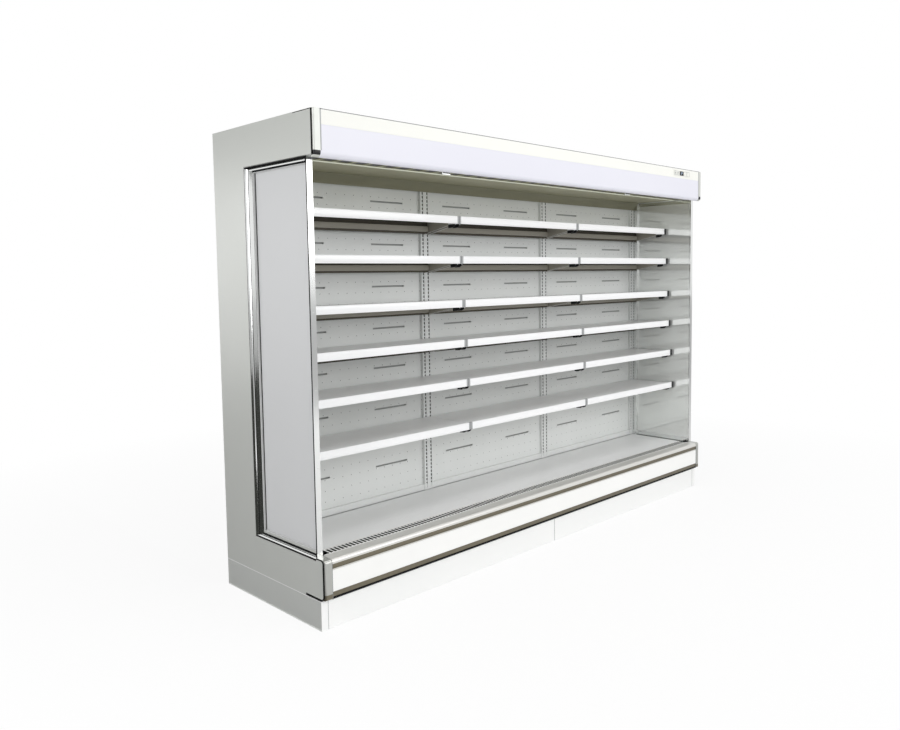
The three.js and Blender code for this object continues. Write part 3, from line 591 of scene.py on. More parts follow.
@dataclass(frozen=True)
class PaintedHighlightSkin(BrushedMetal):
    """Stainless skin with a painted highlight: a white line along its upper edge, where a folded
    hem would catch the light.
    """

    top: float = 120.0
    # height of the white band of painted highlight
    hem: float = 3.6

    def detail(self, graph: Graph) -> None:
        """Adds the painted highlight: a white band along the top edge.

        Args:
            graph: the material's nodes.
        """
        BrushedMetal.detail(self, graph)
        height = graph.axes(graph.place()).outputs["Z"]
        # painted highlight: pure white above the top less the band
        graph.paint(graph.sum("GREATER_THAN", height, (self.top - self.hem) * MM), "#ffffff")


@dataclass(frozen=True)
class MouldedPlastic(Finish):
    """Injection-moulded ABS or PVC: an even colour with a fine spark-eroded texture."""

    texture: float = 1.2
    depth: float = 0.15
    gloss: float = 0.5

    def detail(self, graph: Graph) -> None:
        """Adds the mould texture as small round dents.

        Args:
            graph: the material's nodes.
        """
        graph.inputs["Specular IOR Level"].default_value = self.gloss
        inputs = {"Vector": self.mottled(graph, 60, 0.04), "Scale": 1 / (self.texture * MM)}
        dents = graph.add("TexVoronoi", inputs, feature="SMOOTH_F1")
        graph.bump(dents.outputs["Distance"], self.depth, 0.0002)


@dataclass(frozen=True)
class GalvanisedSteel(Finish):
    """Hot-dip galvanised sheet: zinc crystals 12 mm wide, each with its own grey and gloss."""

    spangle: float = 12.0

    def detail(self, graph: Graph) -> None:
        """Adds the spangle from the cell colours of a Voronoi pattern.

        Args:
            graph: the material's nodes.
        """
        inputs = {"Vector": graph.place(), "Scale": 1 / (self.spangle * MM)}
        cells = graph.add("TexVoronoi", inputs)
        grey = graph.add("SeparateColor", {"Color": cells.outputs["Color"]})
        graph.colour(grey.outputs["Red"], linear(self.colour), linear(self.shade))
        graph.roughness(grey.outputs["Green"], self.roughness, 0.12)


@dataclass(frozen=True)
class PerforatedSheet(PowderCoat):
    """Powder-coated duct panel with rows of small round air holes, drawn as dots of painted shade
    rather than cut.
    """

    hole: float = 3.4
    pitch: float = 25.0

    def detail(self, graph: Graph) -> None:
        """Adds the holes as painted shade: dark where the nearest grid point is less than a radius
        away.

        Args:
            graph: the material's nodes.
        """
        PowderCoat.detail(self, graph)
        axes = graph.axes(graph.place())
        x, y = (graph.sum("PINGPONG", axes.outputs[axis], self.pitch * MM) for axis in "XZ")
        apart = graph.add("CombineXYZ", {"X": x, "Y": y})
        distance = graph.add("VectorMath", {0: apart.outputs[0]}, operation="LENGTH")
        hole = graph.sum("LESS_THAN", distance.outputs["Value"], self.hole / 2 * MM)
        # painted shade: the dark of the duct seen through each hole
        graph.paint(hole, "#2b2c2d")


@dataclass(frozen=True)
class PanelledSkin(PowderCoat):
    """Prepainted outer sheet of the foamed body, folded in at the joints between its panels."""

    joint: float = 937.5
    width: float = 3.0

    def detail(self, graph: Graph) -> None:
        """Adds the joints: dark lines half a bay either side of the middle, and so on outwards.

        Args:
            graph: the material's nodes.
        """
        PowderCoat.detail(self, graph)
        x = graph.axes(graph.place()).outputs["X"]
        wrapped = graph.sum("PINGPONG", x, self.joint / 2 * MM)
        line = graph.sum("GREATER_THAN", wrapped, (self.joint / 2 - self.width / 2) * MM)
        graph.paint(line, "#77797a")


@dataclass(frozen=True)
class SealedGlass(Finish):
    """One pane of a sealed unit with a silvered low-emissivity coat: greyish, and half a mirror."""

    clear: float = 0.35
    mirror: float = 0.35

    def detail(self, graph: Graph) -> None:
        """Lets some light through and adds the faint unevenness of float glass.

        Args:
            graph: the material's nodes.
        """
        graph.inputs["Transmission Weight"].default_value = self.clear
        graph.inputs["Coat Weight"].default_value = self.mirror
        graph.inputs["Coat Roughness"].default_value = 0.02
        graph.inputs["IOR"].default_value = 1.5
        graph.bump(graph.noise(graph.place(), 350, 1.0), 0.08, 0.002)


@dataclass(frozen=True)
class OpalAcrylic(Finish):
    """Extruded opal acrylic: light from behind spreads in it, so that it looks softly lit."""

    glow: float = 0.0
    gloss: float = 0.3

    def detail(self, graph: Graph) -> None:
        """Adds the spread of light, the glow of a lamp behind it and the gloss of its skin; in the
        outlet rim, where no lamp lies behind, the glow is painted.

        Args:
            graph: the material's nodes.
        """
        self.mottled(graph, 500, 0.03)
        graph.inputs["Coat Weight"].default_value = self.gloss
        graph.inputs["Coat Roughness"].default_value = 0.08
        # the emission is painted glow where no lamp lies behind, as in the outlet rim
        if self.glow > 0:
            graph.inputs["Emission Color"].default_value = linear(self.colour)
            graph.inputs["Emission Strength"].default_value = self.glow


@dataclass(frozen=True)
class CoatedFabric(Finish):
    """Woven blind fabric with an aluminised face: threads 0.5 mm apart, drawn 2 mm apart."""

    thread: float = 2.0

    def detail(self, graph: Graph) -> None:
        """Adds the weave as two crossed sets of threads, and the sheen of the coating.

        Args:
            graph: the material's nodes.
        """
        inputs = {"Vector": self.mottled(graph, 90, 0.06), "Scale": 0.314 / (self.thread * MM)}
        warp, weft = (
            graph.add("TexWave", inputs, wave_type="BANDS", bands_direction=way).outputs["Fac"]
            for way in "XZ"
        )
        graph.bump(graph.sum("MULTIPLY", warp, weft), 0.5, 0.0004)
        graph.inputs["Sheen Weight"].default_value = 0.2


WHITE_SHELF = PowderCoat("white_shelf_powder_coat", "#f6f7f7", 0.34, shade="#f0f1f2")
WHITE_DUCT = PerforatedSheet("perforated_duct_powder_coat", "#eff1f0", 0.4, shade="#e6e9e7")
WHITE_UPRIGHT = PowderCoat("upright_powder_coat", "#eef0ef", 0.4, shade="#e4e6e5")
WHITE_PLINTH = PowderCoat("plinth_powder_coat", "#fbfbfa", 0.45, shade="#f7f8f7")
WHITE_INSERT = PowderCoat("bumper_insert_powder_coat", "#fbfbf9", 0.36, shade="#f6f6f4")
BODY_SKIN = PanelledSkin("foamed_body_skin", "#e4e6e5", 0.42, shade="#dadddb")
FASCIA_PAINT = PowderCoat("fascia_powder_coat", "#f1f1ec", 0.45, shade="#eeeee8")
# painted shade: the ceiling's olive-grey, darker than the white inside, stands for the shade under
# the canopy
CEILING_PAINTED_SHADE = PowderCoat("ceiling_powder_coat", "#b4b196", 0.4, 0.3, "#a4a187")
# painted shade: a darker copy of the white shelf coat for undersides, bracket sides and beam faces
UNDERSIDE_PAINTED_SHADE = PowderCoat("underside_primer_coat", "#aaa69b", 0.5, shade="#9d998e")
# painted shade: the baffle's dark olive stands for the shade at the top of the back wall
BAFFLE_PAINTED_SHADE = PowderCoat("olive_baffle_paint", "#9a9883", 0.45, 0.2, "#8b8974")
# painted shade: near-black for the shade in the gaps above and below the rear beams
DARK_PAINTED_SHADE = PowderCoat("shadow_gap_primer_coat", "#4b463a", 0.6, shade="#433e33")
# painted shade: the grey of a liner that stands for the shaded space behind the duct's slots
LINER_PAINTED_SHADE = PowderCoat("duct_liner_coat", "#b4b6b5", 0.6, shade="#a9abaa")
END_WALL_SKIN = BrushedMetal(
    "end_wall_stainless_skin", "#dddfdb", 0.32, 0.45, "#d6d8d4", Grain.ALONG_Z, depth=0.05
)
# the end plinths' skin carries a white line of painted highlight along its top
PLINTH_END_SKIN = PaintedHighlightSkin(
    "plinth_end_stainless_skin", "#dcdedb", 0.34, 0.45, "#d5d7d4", Grain.ALONG_Y, depth=0.05
)
BRIGHT_FRAME = BrushedMetal(
    "polished_aluminium_frame", "#eaebea", 0.12, 1.0, "#e0e2e1", Grain.ALONG_Z, depth=0.03
)
BRIGHT_BUMPER = BrushedMetal(
    "polished_aluminium_bumper", "#dddcd8", 0.3, 0.4, "#d3d2ce", depth=0.05
)
# painted shade: olive for the shade under the bumper's nose and along its lower edge
OLIVE_PAINTED_SHADE = BrushedMetal("bronze_anodised_trim", "#7e7867", 0.34, 0.75, "#6d6758", depth=0.08)
SATIN_METAL = BrushedMetal("satin_anodised_aluminium", "#dedfde", 0.3, 0.9, "#d0d1d0")
SILVER_CAP = MouldedPlastic("silver_abs_cap", "#cdcfca", 0.36, 0.25, "#c4c6c1", depth=0.05)
BUMPER_CAP = MouldedPlastic("silver_bumper_cap", "#b9bab6", 0.3, 0.6, "#b0b1ad", depth=0.05)
GREY_CAP = MouldedPlastic("grey_abs_cap", "#86888a", 0.45, shade="#7b7d7f")
JOINT_CAP = MouldedPlastic("shelf_joint_abs_cap", "#a9abac", 0.4, shade="#9d9fa0")
LIGHT_SEAL = MouldedPlastic("light_grey_glazing_seal", "#cfd0cf", 0.45, shade="#c4c5c4")
BLACK_CAP = MouldedPlastic("black_abs_cap", "#111214", 0.35, shade="#1a1b1d", gloss=0.3)
BLACK_SEAL = MouldedPlastic(
    "black_epdm_seal", "#0c0c0d", 0.6, shade="#141415", texture=2.0, gloss=0.12
)
OUTER_PANE = SealedGlass("coated_outer_pane", "#d3d4d5", 0.32, 0.04, clear=0.15, mirror=0.0)
INNER_PANE = SealedGlass("silvered_inner_pane", "#eef0ee", 0.04, 0.5, clear=0.08, mirror=0.3)
LIGHT_PANEL = OpalAcrylic("opal_acrylic_panel", "#e4e4ec", 0.42, shade="#dedee8", gloss=0.08)
LAMP_LENS = OpalAcrylic("lamp_lens_acrylic", "#fffdf6", 0.3, shade="#e6e6f6", glow=2.5)
# painted glow: the outlet rim is no lamp, yet glows as if the canopy lamp lit it
RIM_PAINTED_GLOW = OpalAcrylic("outlet_rim_acrylic", "#dfe2d0", 0.35, shade="#d5d8c6", glow=0.3)
BLIND_CLOTH = CoatedFabric("aluminised_blind_fabric", "#c9ccce", 0.5, 0.25, "#b4b8bb")
ZINC = GalvanisedSteel("galvanised_sheet", "#b2b7b7", 0.42, 0.8, "#8e9393")
GRILLE_METAL = BrushedMetal("satin_anodised_grille", "#f6f6f4", 0.4, 0.06, "#eeeeec", depth=0.05)
COIL_FINS = BrushedMetal("evaporator_fin_stock", "#c2c6c6", 0.35, 0.9, "#9fa1a1", Grain.ALONG_Z)
ROTOR_PLASTIC = MouldedPlastic("fan_rotor_polyamide", "#26272a", 0.5, shade="#303235")
CONTROLLER_FACE = MouldedPlastic("controller_abs_face", "#f1f1ea", 0.4, shade="#e9e9e2")
KEY_CAP = MouldedPlastic("controller_key_abs", "#dcddd8", 0.45, shade="#d0d1cc")
DISPLAY_GLASS = MouldedPlastic(
    "display_window_pmma", "#060607", 0.12, shade="#0a0a0b", depth=0.0, gloss=0.3
)
DIGIT_GLOW = OpalAcrylic("display_segment", "#a9c4d6", 0.4, shade="#e6e6f6", glow=0.5)
LABEL_STRIP = OpalAcrylic("label_strip_pvc", "#fafafa", 0.25, shade="#f4f5f6", gloss=0.4)


# ---- Pieces ----


def make_piece(
    name: str,
    shape: Shape,
    finish: Finish,
    body: str | None = "cabinet",
    bevel: float = 0.0,
    smooth: float = 35.0,
    replaces: Sequence[str] = (),
) -> bpy.types.Object:
    """Makes a finished piece from a shape and hands it to the frame.

    Args:
        name: the piece's name.
        shape: its surface.
        finish: its finish.
        body: the CAD body that it rides on, or None to leave it on no body.
        bevel: width of its rounded edges.
        smooth: edges sharper than this many degrees stay sharp.
        replaces: CAD nodes that it stands for.

    Returns:
        The object.
    """
    mesh = bpy.data.meshes.new(name)
    mesh.from_pydata(shape.vertices.tolist(), [], shape.faces)
    mesh.validate()
    mesh.polygons.foreach_set("use_smooth", np.ones(len(mesh.polygons), bool))
    mesh.set_sharp_from_angle(angle=math.radians(smooth))
    mesh.materials.append(finish.material())
    obj = add_object(name, mesh)
    if bevel > 0:
        rounding = obj.modifiers.new("rounded_edges", "BEVEL")
        rounding.width = bevel * MM
        rounding.segments = 2
        rounding.limit_method = "ANGLE"
        rounding.angle_limit = math.radians(40)
        rounding.harden_normals = True
    if body is not None:
        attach(obj, body)
    for node in replaces:
        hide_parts(node)
    return obj


def make_pair(
    name: str,
    right: Shape,
    finish: Finish,
    node: str = "",
    body: str = "",
    smooth: float = 35.0,
) -> None:
    """Makes a right-hand piece and its mirror image on the left.

    Args:
        name: the pieces' name before _left and _right.
        right: the right-hand surface.
        finish: their finish.
        node: the CAD nodes that they stand for before _left and _right, if any.
        body: the CAD bodies that they ride on before _left and _right, if not the cabinet.
        smooth: edges sharper than this many degrees stay sharp.
    """
    for side, shape in (("left", right.mirrored()), ("right", right)):
        make_piece(
            f"{name}_{side}",
            shape,
            finish,
            body=f"{body}_{side}" if body else "cabinet",
            smooth=smooth,
            replaces=[f"{node}_{side}"] if node else [],
        )


def add_object(name: str, data: bpy.types.ID) -> bpy.types.Object:
    """Puts a mesh, lamp or camera into the scene.

    Args:
        name: its name.
        data: its data.

    Returns:
        The object.
    """
    obj = bpy.data.objects.new(name, data)
    bpy.context.scene.collection.objects.link(obj)
    return obj


def dress(finish: Finish, *nodes: str) -> None:
    """Gives carried-over CAD nodes their finish in place of the plain colour.

    Args:
        finish: the finish.
        *nodes: the nodes' names.
    """
    for name in nodes:
        for slot in frame["nodes"][name].material_slots:
            slot.material = finish.material()


@dataclass
class Body:
    """Sizes that every sub-assembly shares, as in the part's source."""

    bay: float = 937.5
    bays: int = 3
    end_wall: float = 45.0
    height: float = 2000.0
    front: float = 735.0
    bumper_top: float = 287.0
    canopy_bottom: float = 1821.0
    glazing_front: float = 695.0
    glazing_top: float = 1832.0
    glazing_bottom: float = 276.0
    upright_front: float = 280.0
    shelf_rails: tuple[float, ...] = (1622, 1432, 1223, 1033, 843, 634)
    shelf_depth: float = 242.0
    shelf_step: float = 12.0

    @property
    def half(self) -> float:
        """Half the cabinet's length."""
        return self.bay * self.bays / 2 + self.end_wall

    @property
    def inside(self) -> float:
        """Half the length between the end walls."""
        return self.bay * self.bays / 2

    def bay_middles(self) -> list[float]:
        """X of the middle of each bay, from the left."""
        return [(k - (self.bays - 1) / 2) * self.bay for k in range(self.bays)]

    def joints(self) -> list[float]:
        """X of the uprights: both ends and every joint between bays."""
        return [(k - self.bays / 2) * self.bay for k in range(self.bays + 1)]

    def shelf_front(self, row: int) -> float:
        """Front of a shelf row, from the rear; each row is a step deeper than the one above."""
        return self.upright_front + self.shelf_depth + row * self.shelf_step


@dataclass
class Assembly:
    """A sub-assembly of the cabinet, which dresses and adds its own pieces."""

    body: Body = field(default_factory=Body)


@dataclass
class Carcass(Assembly):
    """The insulated body, base and plinth."""

    plinth_front: float = 720.0
    plinth_end: float = 31.0
    joint: float = 2.0
    seam: float = 3.0

    def build(self) -> None:
        """Dresses the body's skins, the plinth and the base frame."""
        dress(BODY_SKIN, "insulated_shell")
        dress(END_WALL_SKIN, "side_panel_left", "side_panel_right")
        dress(WHITE_PLINTH, "plinth_front_left", "plinth_front_right")
        dress(PLINTH_END_SKIN, "plinth_end_left", "plinth_end_right")
        dress(ZINC, "base_frame", "fan_deck")
        self.plinth_faces()

    def plinth_faces(self) -> None:
        """Covers each end plinth's front return in the plinth's white, and marks the joints."""
        start, face, z = self.body.half - self.plinth_end, self.plinth_front, (0.5, 119.6)
        white = slab((start, self.body.half - 0.4), (face + 0.1, face + 0.6), z)
        joint = slab((start - 0.4 - self.joint, start - 0.4), film(face), z)
        seam = slab((-self.seam / 2, self.seam / 2), (face + 0.05, face + 0.4), z)
        make_pair("plinth_return_face", white, WHITE_PLINTH)
        make_pair("plinth_joint", joint, JOINT_CAP)
        make_piece("plinth_seam", seam, JOINT_CAP)


@dataclass
class EndWalls(Assembly):
    """Glazing of the two end walls, with its beads, seals and panes."""

    column: float = 250.0
    face: float = 6.0
    rear_member: float = 62.0
    top_member: float = 22.0
    bottom_member: float = 37.0
    post: float = 6.0
    pane: float = 4.0
    pane_depth: float = 10.0
    unit: float = 15.0
    spacer: float = 9.0
    clear: float = 0.1
    sill: Pair = (27.6, 36.8)
    dark_line: Pair = (5.6, 0.3)
    screws: tuple[float, ...] = (340.0, 640.0, 940.0, 1240.0, 1540.0, 1780.0)

    def build(self) -> None:
        """Makes the panes, spacers, beads and seals of both ends."""
        dress(BRIGHT_FRAME, "glass_frame_left", "glass_frame_right")
        self.panes()
        self.trims()

    def outline(self) -> tuple[float, float, float, float]:
        """The frame's outer edges: rear, front, bottom and top."""
        low, high = self.body.glazing_bottom + SEAT, self.body.glazing_top - SEAT
        return self.column + SEAT, self.body.glazing_front - SEAT, low, high

    def panes(self) -> None:
        """Makes the sealed units: two panes each, and the spacer and seal between them."""
        rear, front, low, high = self.outline()
        rear, front = rear + self.rear_member, front - self.post
        low, high = low + self.bottom_member, high - self.top_member
        outer = self.body.half - self.face - self.pane_depth
        inner = outer - self.unit
        near = slab((inner, inner + self.pane), (rear, front), (low, high))
        far = slab((outer - self.pane, outer), (rear, front), (low, high))
        u = [rear, rear + self.spacer, front - self.spacer, front]
        v = [low, low + self.spacer, high - self.spacer, high]
        only_middle = np.pad([[True]], 1)
        between = self.unit - 2 * self.pane - 0.4
        spacer = plate(u, v, only_middle, outer - self.pane - 0.2, between, to_the_end=True)
        make_pair("outer_pane", far, OUTER_PANE, "end_glass")
        make_pair("inner_pane", near, INNER_PANE, "end_glass")
        make_pair("glass_spacer", spacer, BLACK_SEAL)

    def strip(
        self,
        spans: Sequence[Pair],
        base: float,
        rises: Point,
        crests: tuple[Crest, Crest, Crest] = (Crest.FLAT, Crest.FLAT, Crest.FLAT),
    ) -> Shape:
        """A strip along the frame's bottom, rear and top.

        Args:
            spans: its first and last distance from the frame's outer edge, on the bottom, the rear
                and the top.
            base: x of the surface that it lies on.
            rises: how far it stands out from there on each side.
            crests: how its face rises on each side.

        Returns:
            The strip of the right-hand end.
        """
        rear, front, low, high = self.outline()
        pairs = zip(crests, rises)
        sections = [crest.section(base + self.clear, rise) for crest, rise in pairs]
        return round_three_sides(sections, (rear, front - self.dark_line[0], low, high), spans)

    def trims(self) -> None:
        """Makes the seals, beads and gaskets of both ends."""
        face = self.body.half - self.face
        pane, over = face - self.pane_depth, face + self.clear
        rear, front, low, high = self.outline()
        inner, line = rear + self.rear_member, front - self.dark_line[0]
        flush = self.pane_depth + 0.7
        seals = Shape.gather(
            [
                self.strip([(0.0, 6.2), (0.0, 2.4), (2.6, 6.6)], face, (4.6, 4.6, 4.4)),
                self.strip([(11.6, 11.9), (24.4, 27.2), (10.7, 10.8)], face, (0.8, 3.3, 0.8)),
                self.strip([(18.6, 27.4), (57.0, 58.6), (20.4, 27.4)], pane, (flush,) * 3),
                slab(
                    (pane + self.clear, pane + 2.6),
                    (inner + 0.8, inner + 3.4),
                    (low + self.bottom_member + 2, high - self.top_member - 8),
                ),
                slab((over, face + 1.0), (line, front - self.dark_line[1]), (low + 1, high - 1)),
            ]
        )
        dome, crown, flat = Crest.DOME, Crest.CROWN, Crest.FLAT
        outer, inward = Crest.OUTER, Crest.INNER
        strips = (
            ([(6.3, 11.5), (2.6, 18.9), (6.7, 10.6)], (3.1, 5.2, 4.4), (outer, flat, inward)),
            ([(12.0, 18.4), (27.8, 43.0), (10.9, 20.2)], (2.6, 3.4, 4.8), (dome, crown, inward)),
            ([(18.45, 18.5), (43.2, 56.8), (20.25, 20.3)], (0.5, 3.4, 0.5), (flat, outer, flat)),
            ([(11.55, 11.58), (19.0, 24.3), (10.62, 10.66)], (0.6, 5.2, 0.6), (flat, outer, flat)),
        )
        beads = [self.strip(spans, face, rises, crests) for spans, rises, crests in strips]
        beads.append(slab((over, face + 4.4), (rear + 3.0, line), (high - 2.4, high - 0.2)))
        flush = self.pane_depth + 0.4
        reveal = self.strip([(36.9, 38.0), (58.8, 62.4), (27.5, 28.6)], pane, (flush,) * 3)
        heights = (low + self.sill[0], low + self.sill[1])
        sill = slab((over, face + 0.9), (inner - 4, line), heights)
        middle = pane - self.unit / 2 + 4
        screws = Shape.gather(stud(middle, z, front, 2.6, 0.9) for z in self.screws)
        for name, shape, finish in (
            ("glazing_seals", seals, BLACK_SEAL),
            ("glazing_beads", Shape.gather(beads), BRIGHT_FRAME),
            ("glazing_reveal", reveal, LIGHT_SEAL),
            ("glazing_sill", sill, END_WALL_SKIN),
            ("glazing_screws", screws, SATIN_METAL),
        ):
            make_pair(name, shape, finish, smooth=60)


@dataclass
class Canopy(Assembly):
    """The canopy: fascia, opal front, end caps, lamp, ceiling and the air outlet's louvre."""

    front: float = 748.0
    fascia_height: float = 58.0
    skin: float = 3.0
    lip: float = 20.0
    cap_width: float = 34.0
    corner: Pair = (7.0, 6.0)
    tongue: float = 4.0
    tongue_start: float = 618.0
    seal: float = 4.0
    edge: float = 4.6
    toe_top: float = 25.0
    toe_low: float = 8.0
    baffle: Pair = (46.0, 44.0)
    ceiling: float = 1835.0
    outlet: Pair = (590.0, 654.0)
    outlet_trim: float = 24.0
    fin_pitch: float = 12.0
    fin: float = 1.0

    def build(self) -> None:
        """Dresses the CAD pieces and makes the smooth fronts, seals and louvre."""
        dress(FASCIA_PAINT, "canopy_fascia")
        dress(LAMP_LENS, "canopy_lamp")
        dress(CEILING_PAINTED_SHADE, "canopy_ceiling")
        self.light_panel()
        self.end_caps()
        self.edges()
        self.louvre()

    def lip_centre(self) -> Pair:
        """Centre of the rounded lip in the side view."""
        return self.front - self.lip, self.body.canopy_bottom + self.lip

    def reach(self) -> float:
        """X where the front meets the right-hand cap."""
        return self.body.half - self.cap_width - SEAT

    def light_panel(self) -> None:
        """Makes the opal front panel: straight down, and round under in a soft lip."""
        top = self.body.height - self.fascia_height
        section = [
            (self.front, top),
            *arc(self.lip_centre(), self.lip, 0, -90, 16),
            *arc(self.lip_centre(), self.lip - self.skin, -90, 0, 16),
            (self.front - self.skin, top),
        ]
        shape, node = along_x(section, -self.reach(), self.reach()), "canopy_light_panel"
        make_piece("opal_front_panel", shape, LIGHT_PANEL, replaces=[node])

    def end_caps(self) -> None:
        """Makes the silver end caps, their black toes of painted shade on the rounded lower corner,
        seals, top covers, and grey strips of painted shade where each cap meets the front.
        """
        body, lip = self.body, self.lip_centre()
        rear = body.front + SEAT + self.seal
        toe_top, toe_low = body.canopy_bottom + self.toe_top, body.canopy_bottom + self.toe_low
        turn = math.degrees(math.asin((toe_low - lip[1]) / self.lip))
        under, top = body.glazing_top - SEAT, body.height
        start = body.half - self.cap_width
        cap, toe, foot = (
            along_x(section, start, body.half - self.edge, *self.corner)
            for section in (
                rectangle((rear, self.front), (toe_top + 0.2, top)),
                [
                    (self.front, toe_top),
                    *arc(lip, self.lip, 0, turn, 9),
                    (lip[0], toe_low),
                    (lip[0], under),
                    (rear, under),
                    (rear, toe_top),
                ],
                [*arc(lip, self.lip, turn - 0.6, -90, 9), (lip[0], toe_low - 0.2)],
            )
        )
        front = body.front + SEAT
        over, behind = (body.glazing_top, top - 1.3), (top - self.tongue, top - 1.3)
        seal = Shape.gather(
            [
                slab((start, body.half - 0.1), (front, rear - 0.1), over),
                slab((start, body.half - 0.6), (self.tongue_start, front), behind),
            ]
        )
        limits = (self.tongue_start + 0.6, rear - 0.2)
        cover = slab((start, body.half - 1.6), limits, (top - 1.2, top - 0.1))
        # painted shade: a grey strip on the opal front beside each cap, where the joint lies in
        # shade
        painted_shade_fillet = slab((start - 5.0, start - 0.4), film(self.front), (toe_top, top - 0.4))
        node = "canopy_end_cap"
        make_pair("canopy_cap", cap, SILVER_CAP, node, smooth=50)
        # the black toe paints the shade on the cap's rounded lower corner
        make_pair("canopy_cap_toe", toe, BLACK_CAP, node)
        make_pair("canopy_cap_seal", seal, BLACK_SEAL)
        make_pair("canopy_cap_cover", Shape.gather([cover, foot]), SILVER_CAP)
        make_pair("canopy_cap_fillet", painted_shade_fillet, JOINT_CAP)

    def edges(self) -> None:
        """Makes the fascia's top seal, the outlet's rim with its painted glow, and the baffle at
        the rear, whose dark olive is painted shade.
        """
        top, inside = self.body.height, self.body.inside - 1
        seal = slab((-self.reach(), self.reach()), film(self.front), (top - 3.0, top - 0.2))
        make_piece("fascia_top_seal", seal, GREY_CAP)
        # the outlet's rim, its glow painted
        limits = (self.outlet[0] - self.outlet_trim, self.outlet[0] - 1)
        rim = slab((-inside, inside), limits, (self.ceiling - 1.4, self.ceiling - 0.1))
        make_piece("outlet_rim", rim, RIM_PAINTED_GLOW)
        # painted shade: a dark olive strip put where the top of the back wall lies in shade
        wide, high = self.baffle
        slope = [(0.3, 0), (0.3, -high), (1.8, -high), (4.5, 8 - high), (wide - 8, -5), (wide, -2)]
        section = placed(self.body.upright_front, self.ceiling - 0.2, [*slope, (wide, 0)])
        baffle = along_x(section, -inside, inside)
        make_piece("rear_baffle", baffle, BAFFLE_PAINTED_SHADE, smooth=40)

    def louvre(self) -> None:
        """Makes the egg-crate louvre that straightens the air above the outlet slots."""
        reach, half = self.body.inside - 12, self.fin / 2
        z = (self.ceiling + self.skin + 0.3, self.ceiling + self.skin + 11)
        rear, front = self.outlet[0] - 4, self.outlet[1] + 4
        count = int(2 * reach / self.fin_pitch)
        places = (np.arange(count) - (count - 1) / 2) * self.fin_pitch
        fins = [slab((x - half, x + half), (rear, front), z) for x in places]
        walls = [
            slab((-reach, reach), (r - half, r + half), z) for r in np.linspace(rear, front, 7)
        ]
        make_piece("outlet_louvre", Shape.gather(fins + walls), GREY_CAP)


@dataclass
class Controller(Assembly):
    """The controller in the fascia: display, digits and the marks on its keys."""

    width: float = 195.0
    from_end: float = 141.5
    middle: float = 1971.0
    face: float = 749.0
    margin: float = 8.0
    key: float = 24.0
    key_gap: float = 6.0
    display: Pair = (46.0, 26.0)
    recess: float = 1.0
    proud: float = 0.8
    digit: Point = (8.0, 14.0, 1.3)
    line: float = 0.9

    def build(self) -> None:
        """Dresses the housing and keys, and adds what is on them."""
        dress(CONTROLLER_FACE, "controller_housing")
        dress(KEY_CAP, "controller_key_1", "controller_key_2")
        self.window()
        self.digits()
        self.marks()
        self.outlines()

    def left(self) -> float:
        """X of the housing's left edge."""
        return self.body.half - self.from_end - self.width

    def display_left(self) -> float:
        """X of the display window's left edge."""
        return self.left() + self.margin + 2 * (self.key + self.key_gap) + self.key_gap / 2

    def window(self) -> None:
        """Makes the dark window of the display."""
        left, (width, height) = self.display_left() + SEAT, self.display
        low, high = self.middle - height / 2 + SEAT, self.middle + height / 2 - SEAT
        rear = (self.face - self.recess, self.face - SEAT)
        shape = slab((left, left + width - 2 * SEAT), rear, (low, high))
        make_piece("display_window", shape, DISPLAY_GLASS, bevel=0.2)

    def bars(self, limits: Sequence[tuple[float, ...]], rear: float, front: float) -> Shape:
        """Thin bars on the controller's face.

        Args:
            limits: left, right, bottom and top of each bar.
            rear: how far the bars' backs lie before the face.
            front: how far their fronts do.

        Returns:
            The bars.
        """
        depth = (self.face + rear, self.face + front)
        return Shape.gather(slab((x0, x1), depth, (z0, z1)) for x0, x1, z0, z1 in limits)

    def digits(self) -> None:
        """Makes the lit segments of a plain temperature reading of 2 degrees."""
        wide, high, thick = self.digit
        left, low = self.display_left() + 15, self.middle - high / 2
        right, top, half = left + wide, low + high, low + high / 2
        figure = [
            (left, right, top - thick, top),
            (left, right, half - thick / 2, half + thick / 2),
            (left, right, low, low + thick),
            (right - thick, right, half, top),
            (left, left + thick, low, half),
        ]
        x0, x1, z = left + 13, left + 18, top - 6
        degree = [
            (x0, x1, top - thick, top),
            (x0, x1, z, z + thick),
            (x0, x0 + 1.6, z, top),
            (x1 - 1.6, x1, z, top),
        ]
        shape = self.bars(figure + degree, -0.5, -0.1)
        make_piece("display_digits", shape, DIGIT_GLOW)

    def outlines(self) -> None:
        """Makes the thin printed frames round the keys and round the two blank fields."""
        left, line = self.left(), self.line
        width, height = self.display
        low, high = self.middle - height / 2, self.middle + height / 2
        after, last = self.display_left() + width + 5, left + self.width - self.margin
        middle = (after + last) / 2
        bars: list[tuple[float, ...]] = []
        for x0, x1 in (
            (left + self.margin - 3, self.display_left() - 4),
            (after, middle - 2),
            (middle + 2, last),
        ):
            bars += [(x0, x1, low, low + line), (x0, x1, high - line, high)]
            bars += [(x0, x0 + line, low, high), (x1 - line, x1, low, high)]
        shape = self.bars(bars, 0.02, 0.15)
        make_piece("controller_field_frames", shape, GREY_CAP)

    def marks(self) -> None:
        """Makes an arrow on each key, the first up and the second down."""
        front = DEPTH / 2 - (self.face + self.proud)
        for k, way in ((0, 1), (1, -1)):
            x = self.left() + self.margin + k * (self.key + self.key_gap) + self.key / 2
            corners = np.array([(x - 5, -4.0 * way), (x + 5, -4.0 * way), (x, 4.5 * way)])[::way]
            rings = [
                np.column_stack([corners[:, 0], np.full(3, y), self.middle + corners[:, 1]])
                for y in (front + 0.3, front - 0.15)
            ]
            shape, key = loft(np.stack(rings)), f"key_{k + 1}"
            make_piece(f"key_mark_{k + 1}", shape, GREY_CAP, body=key)


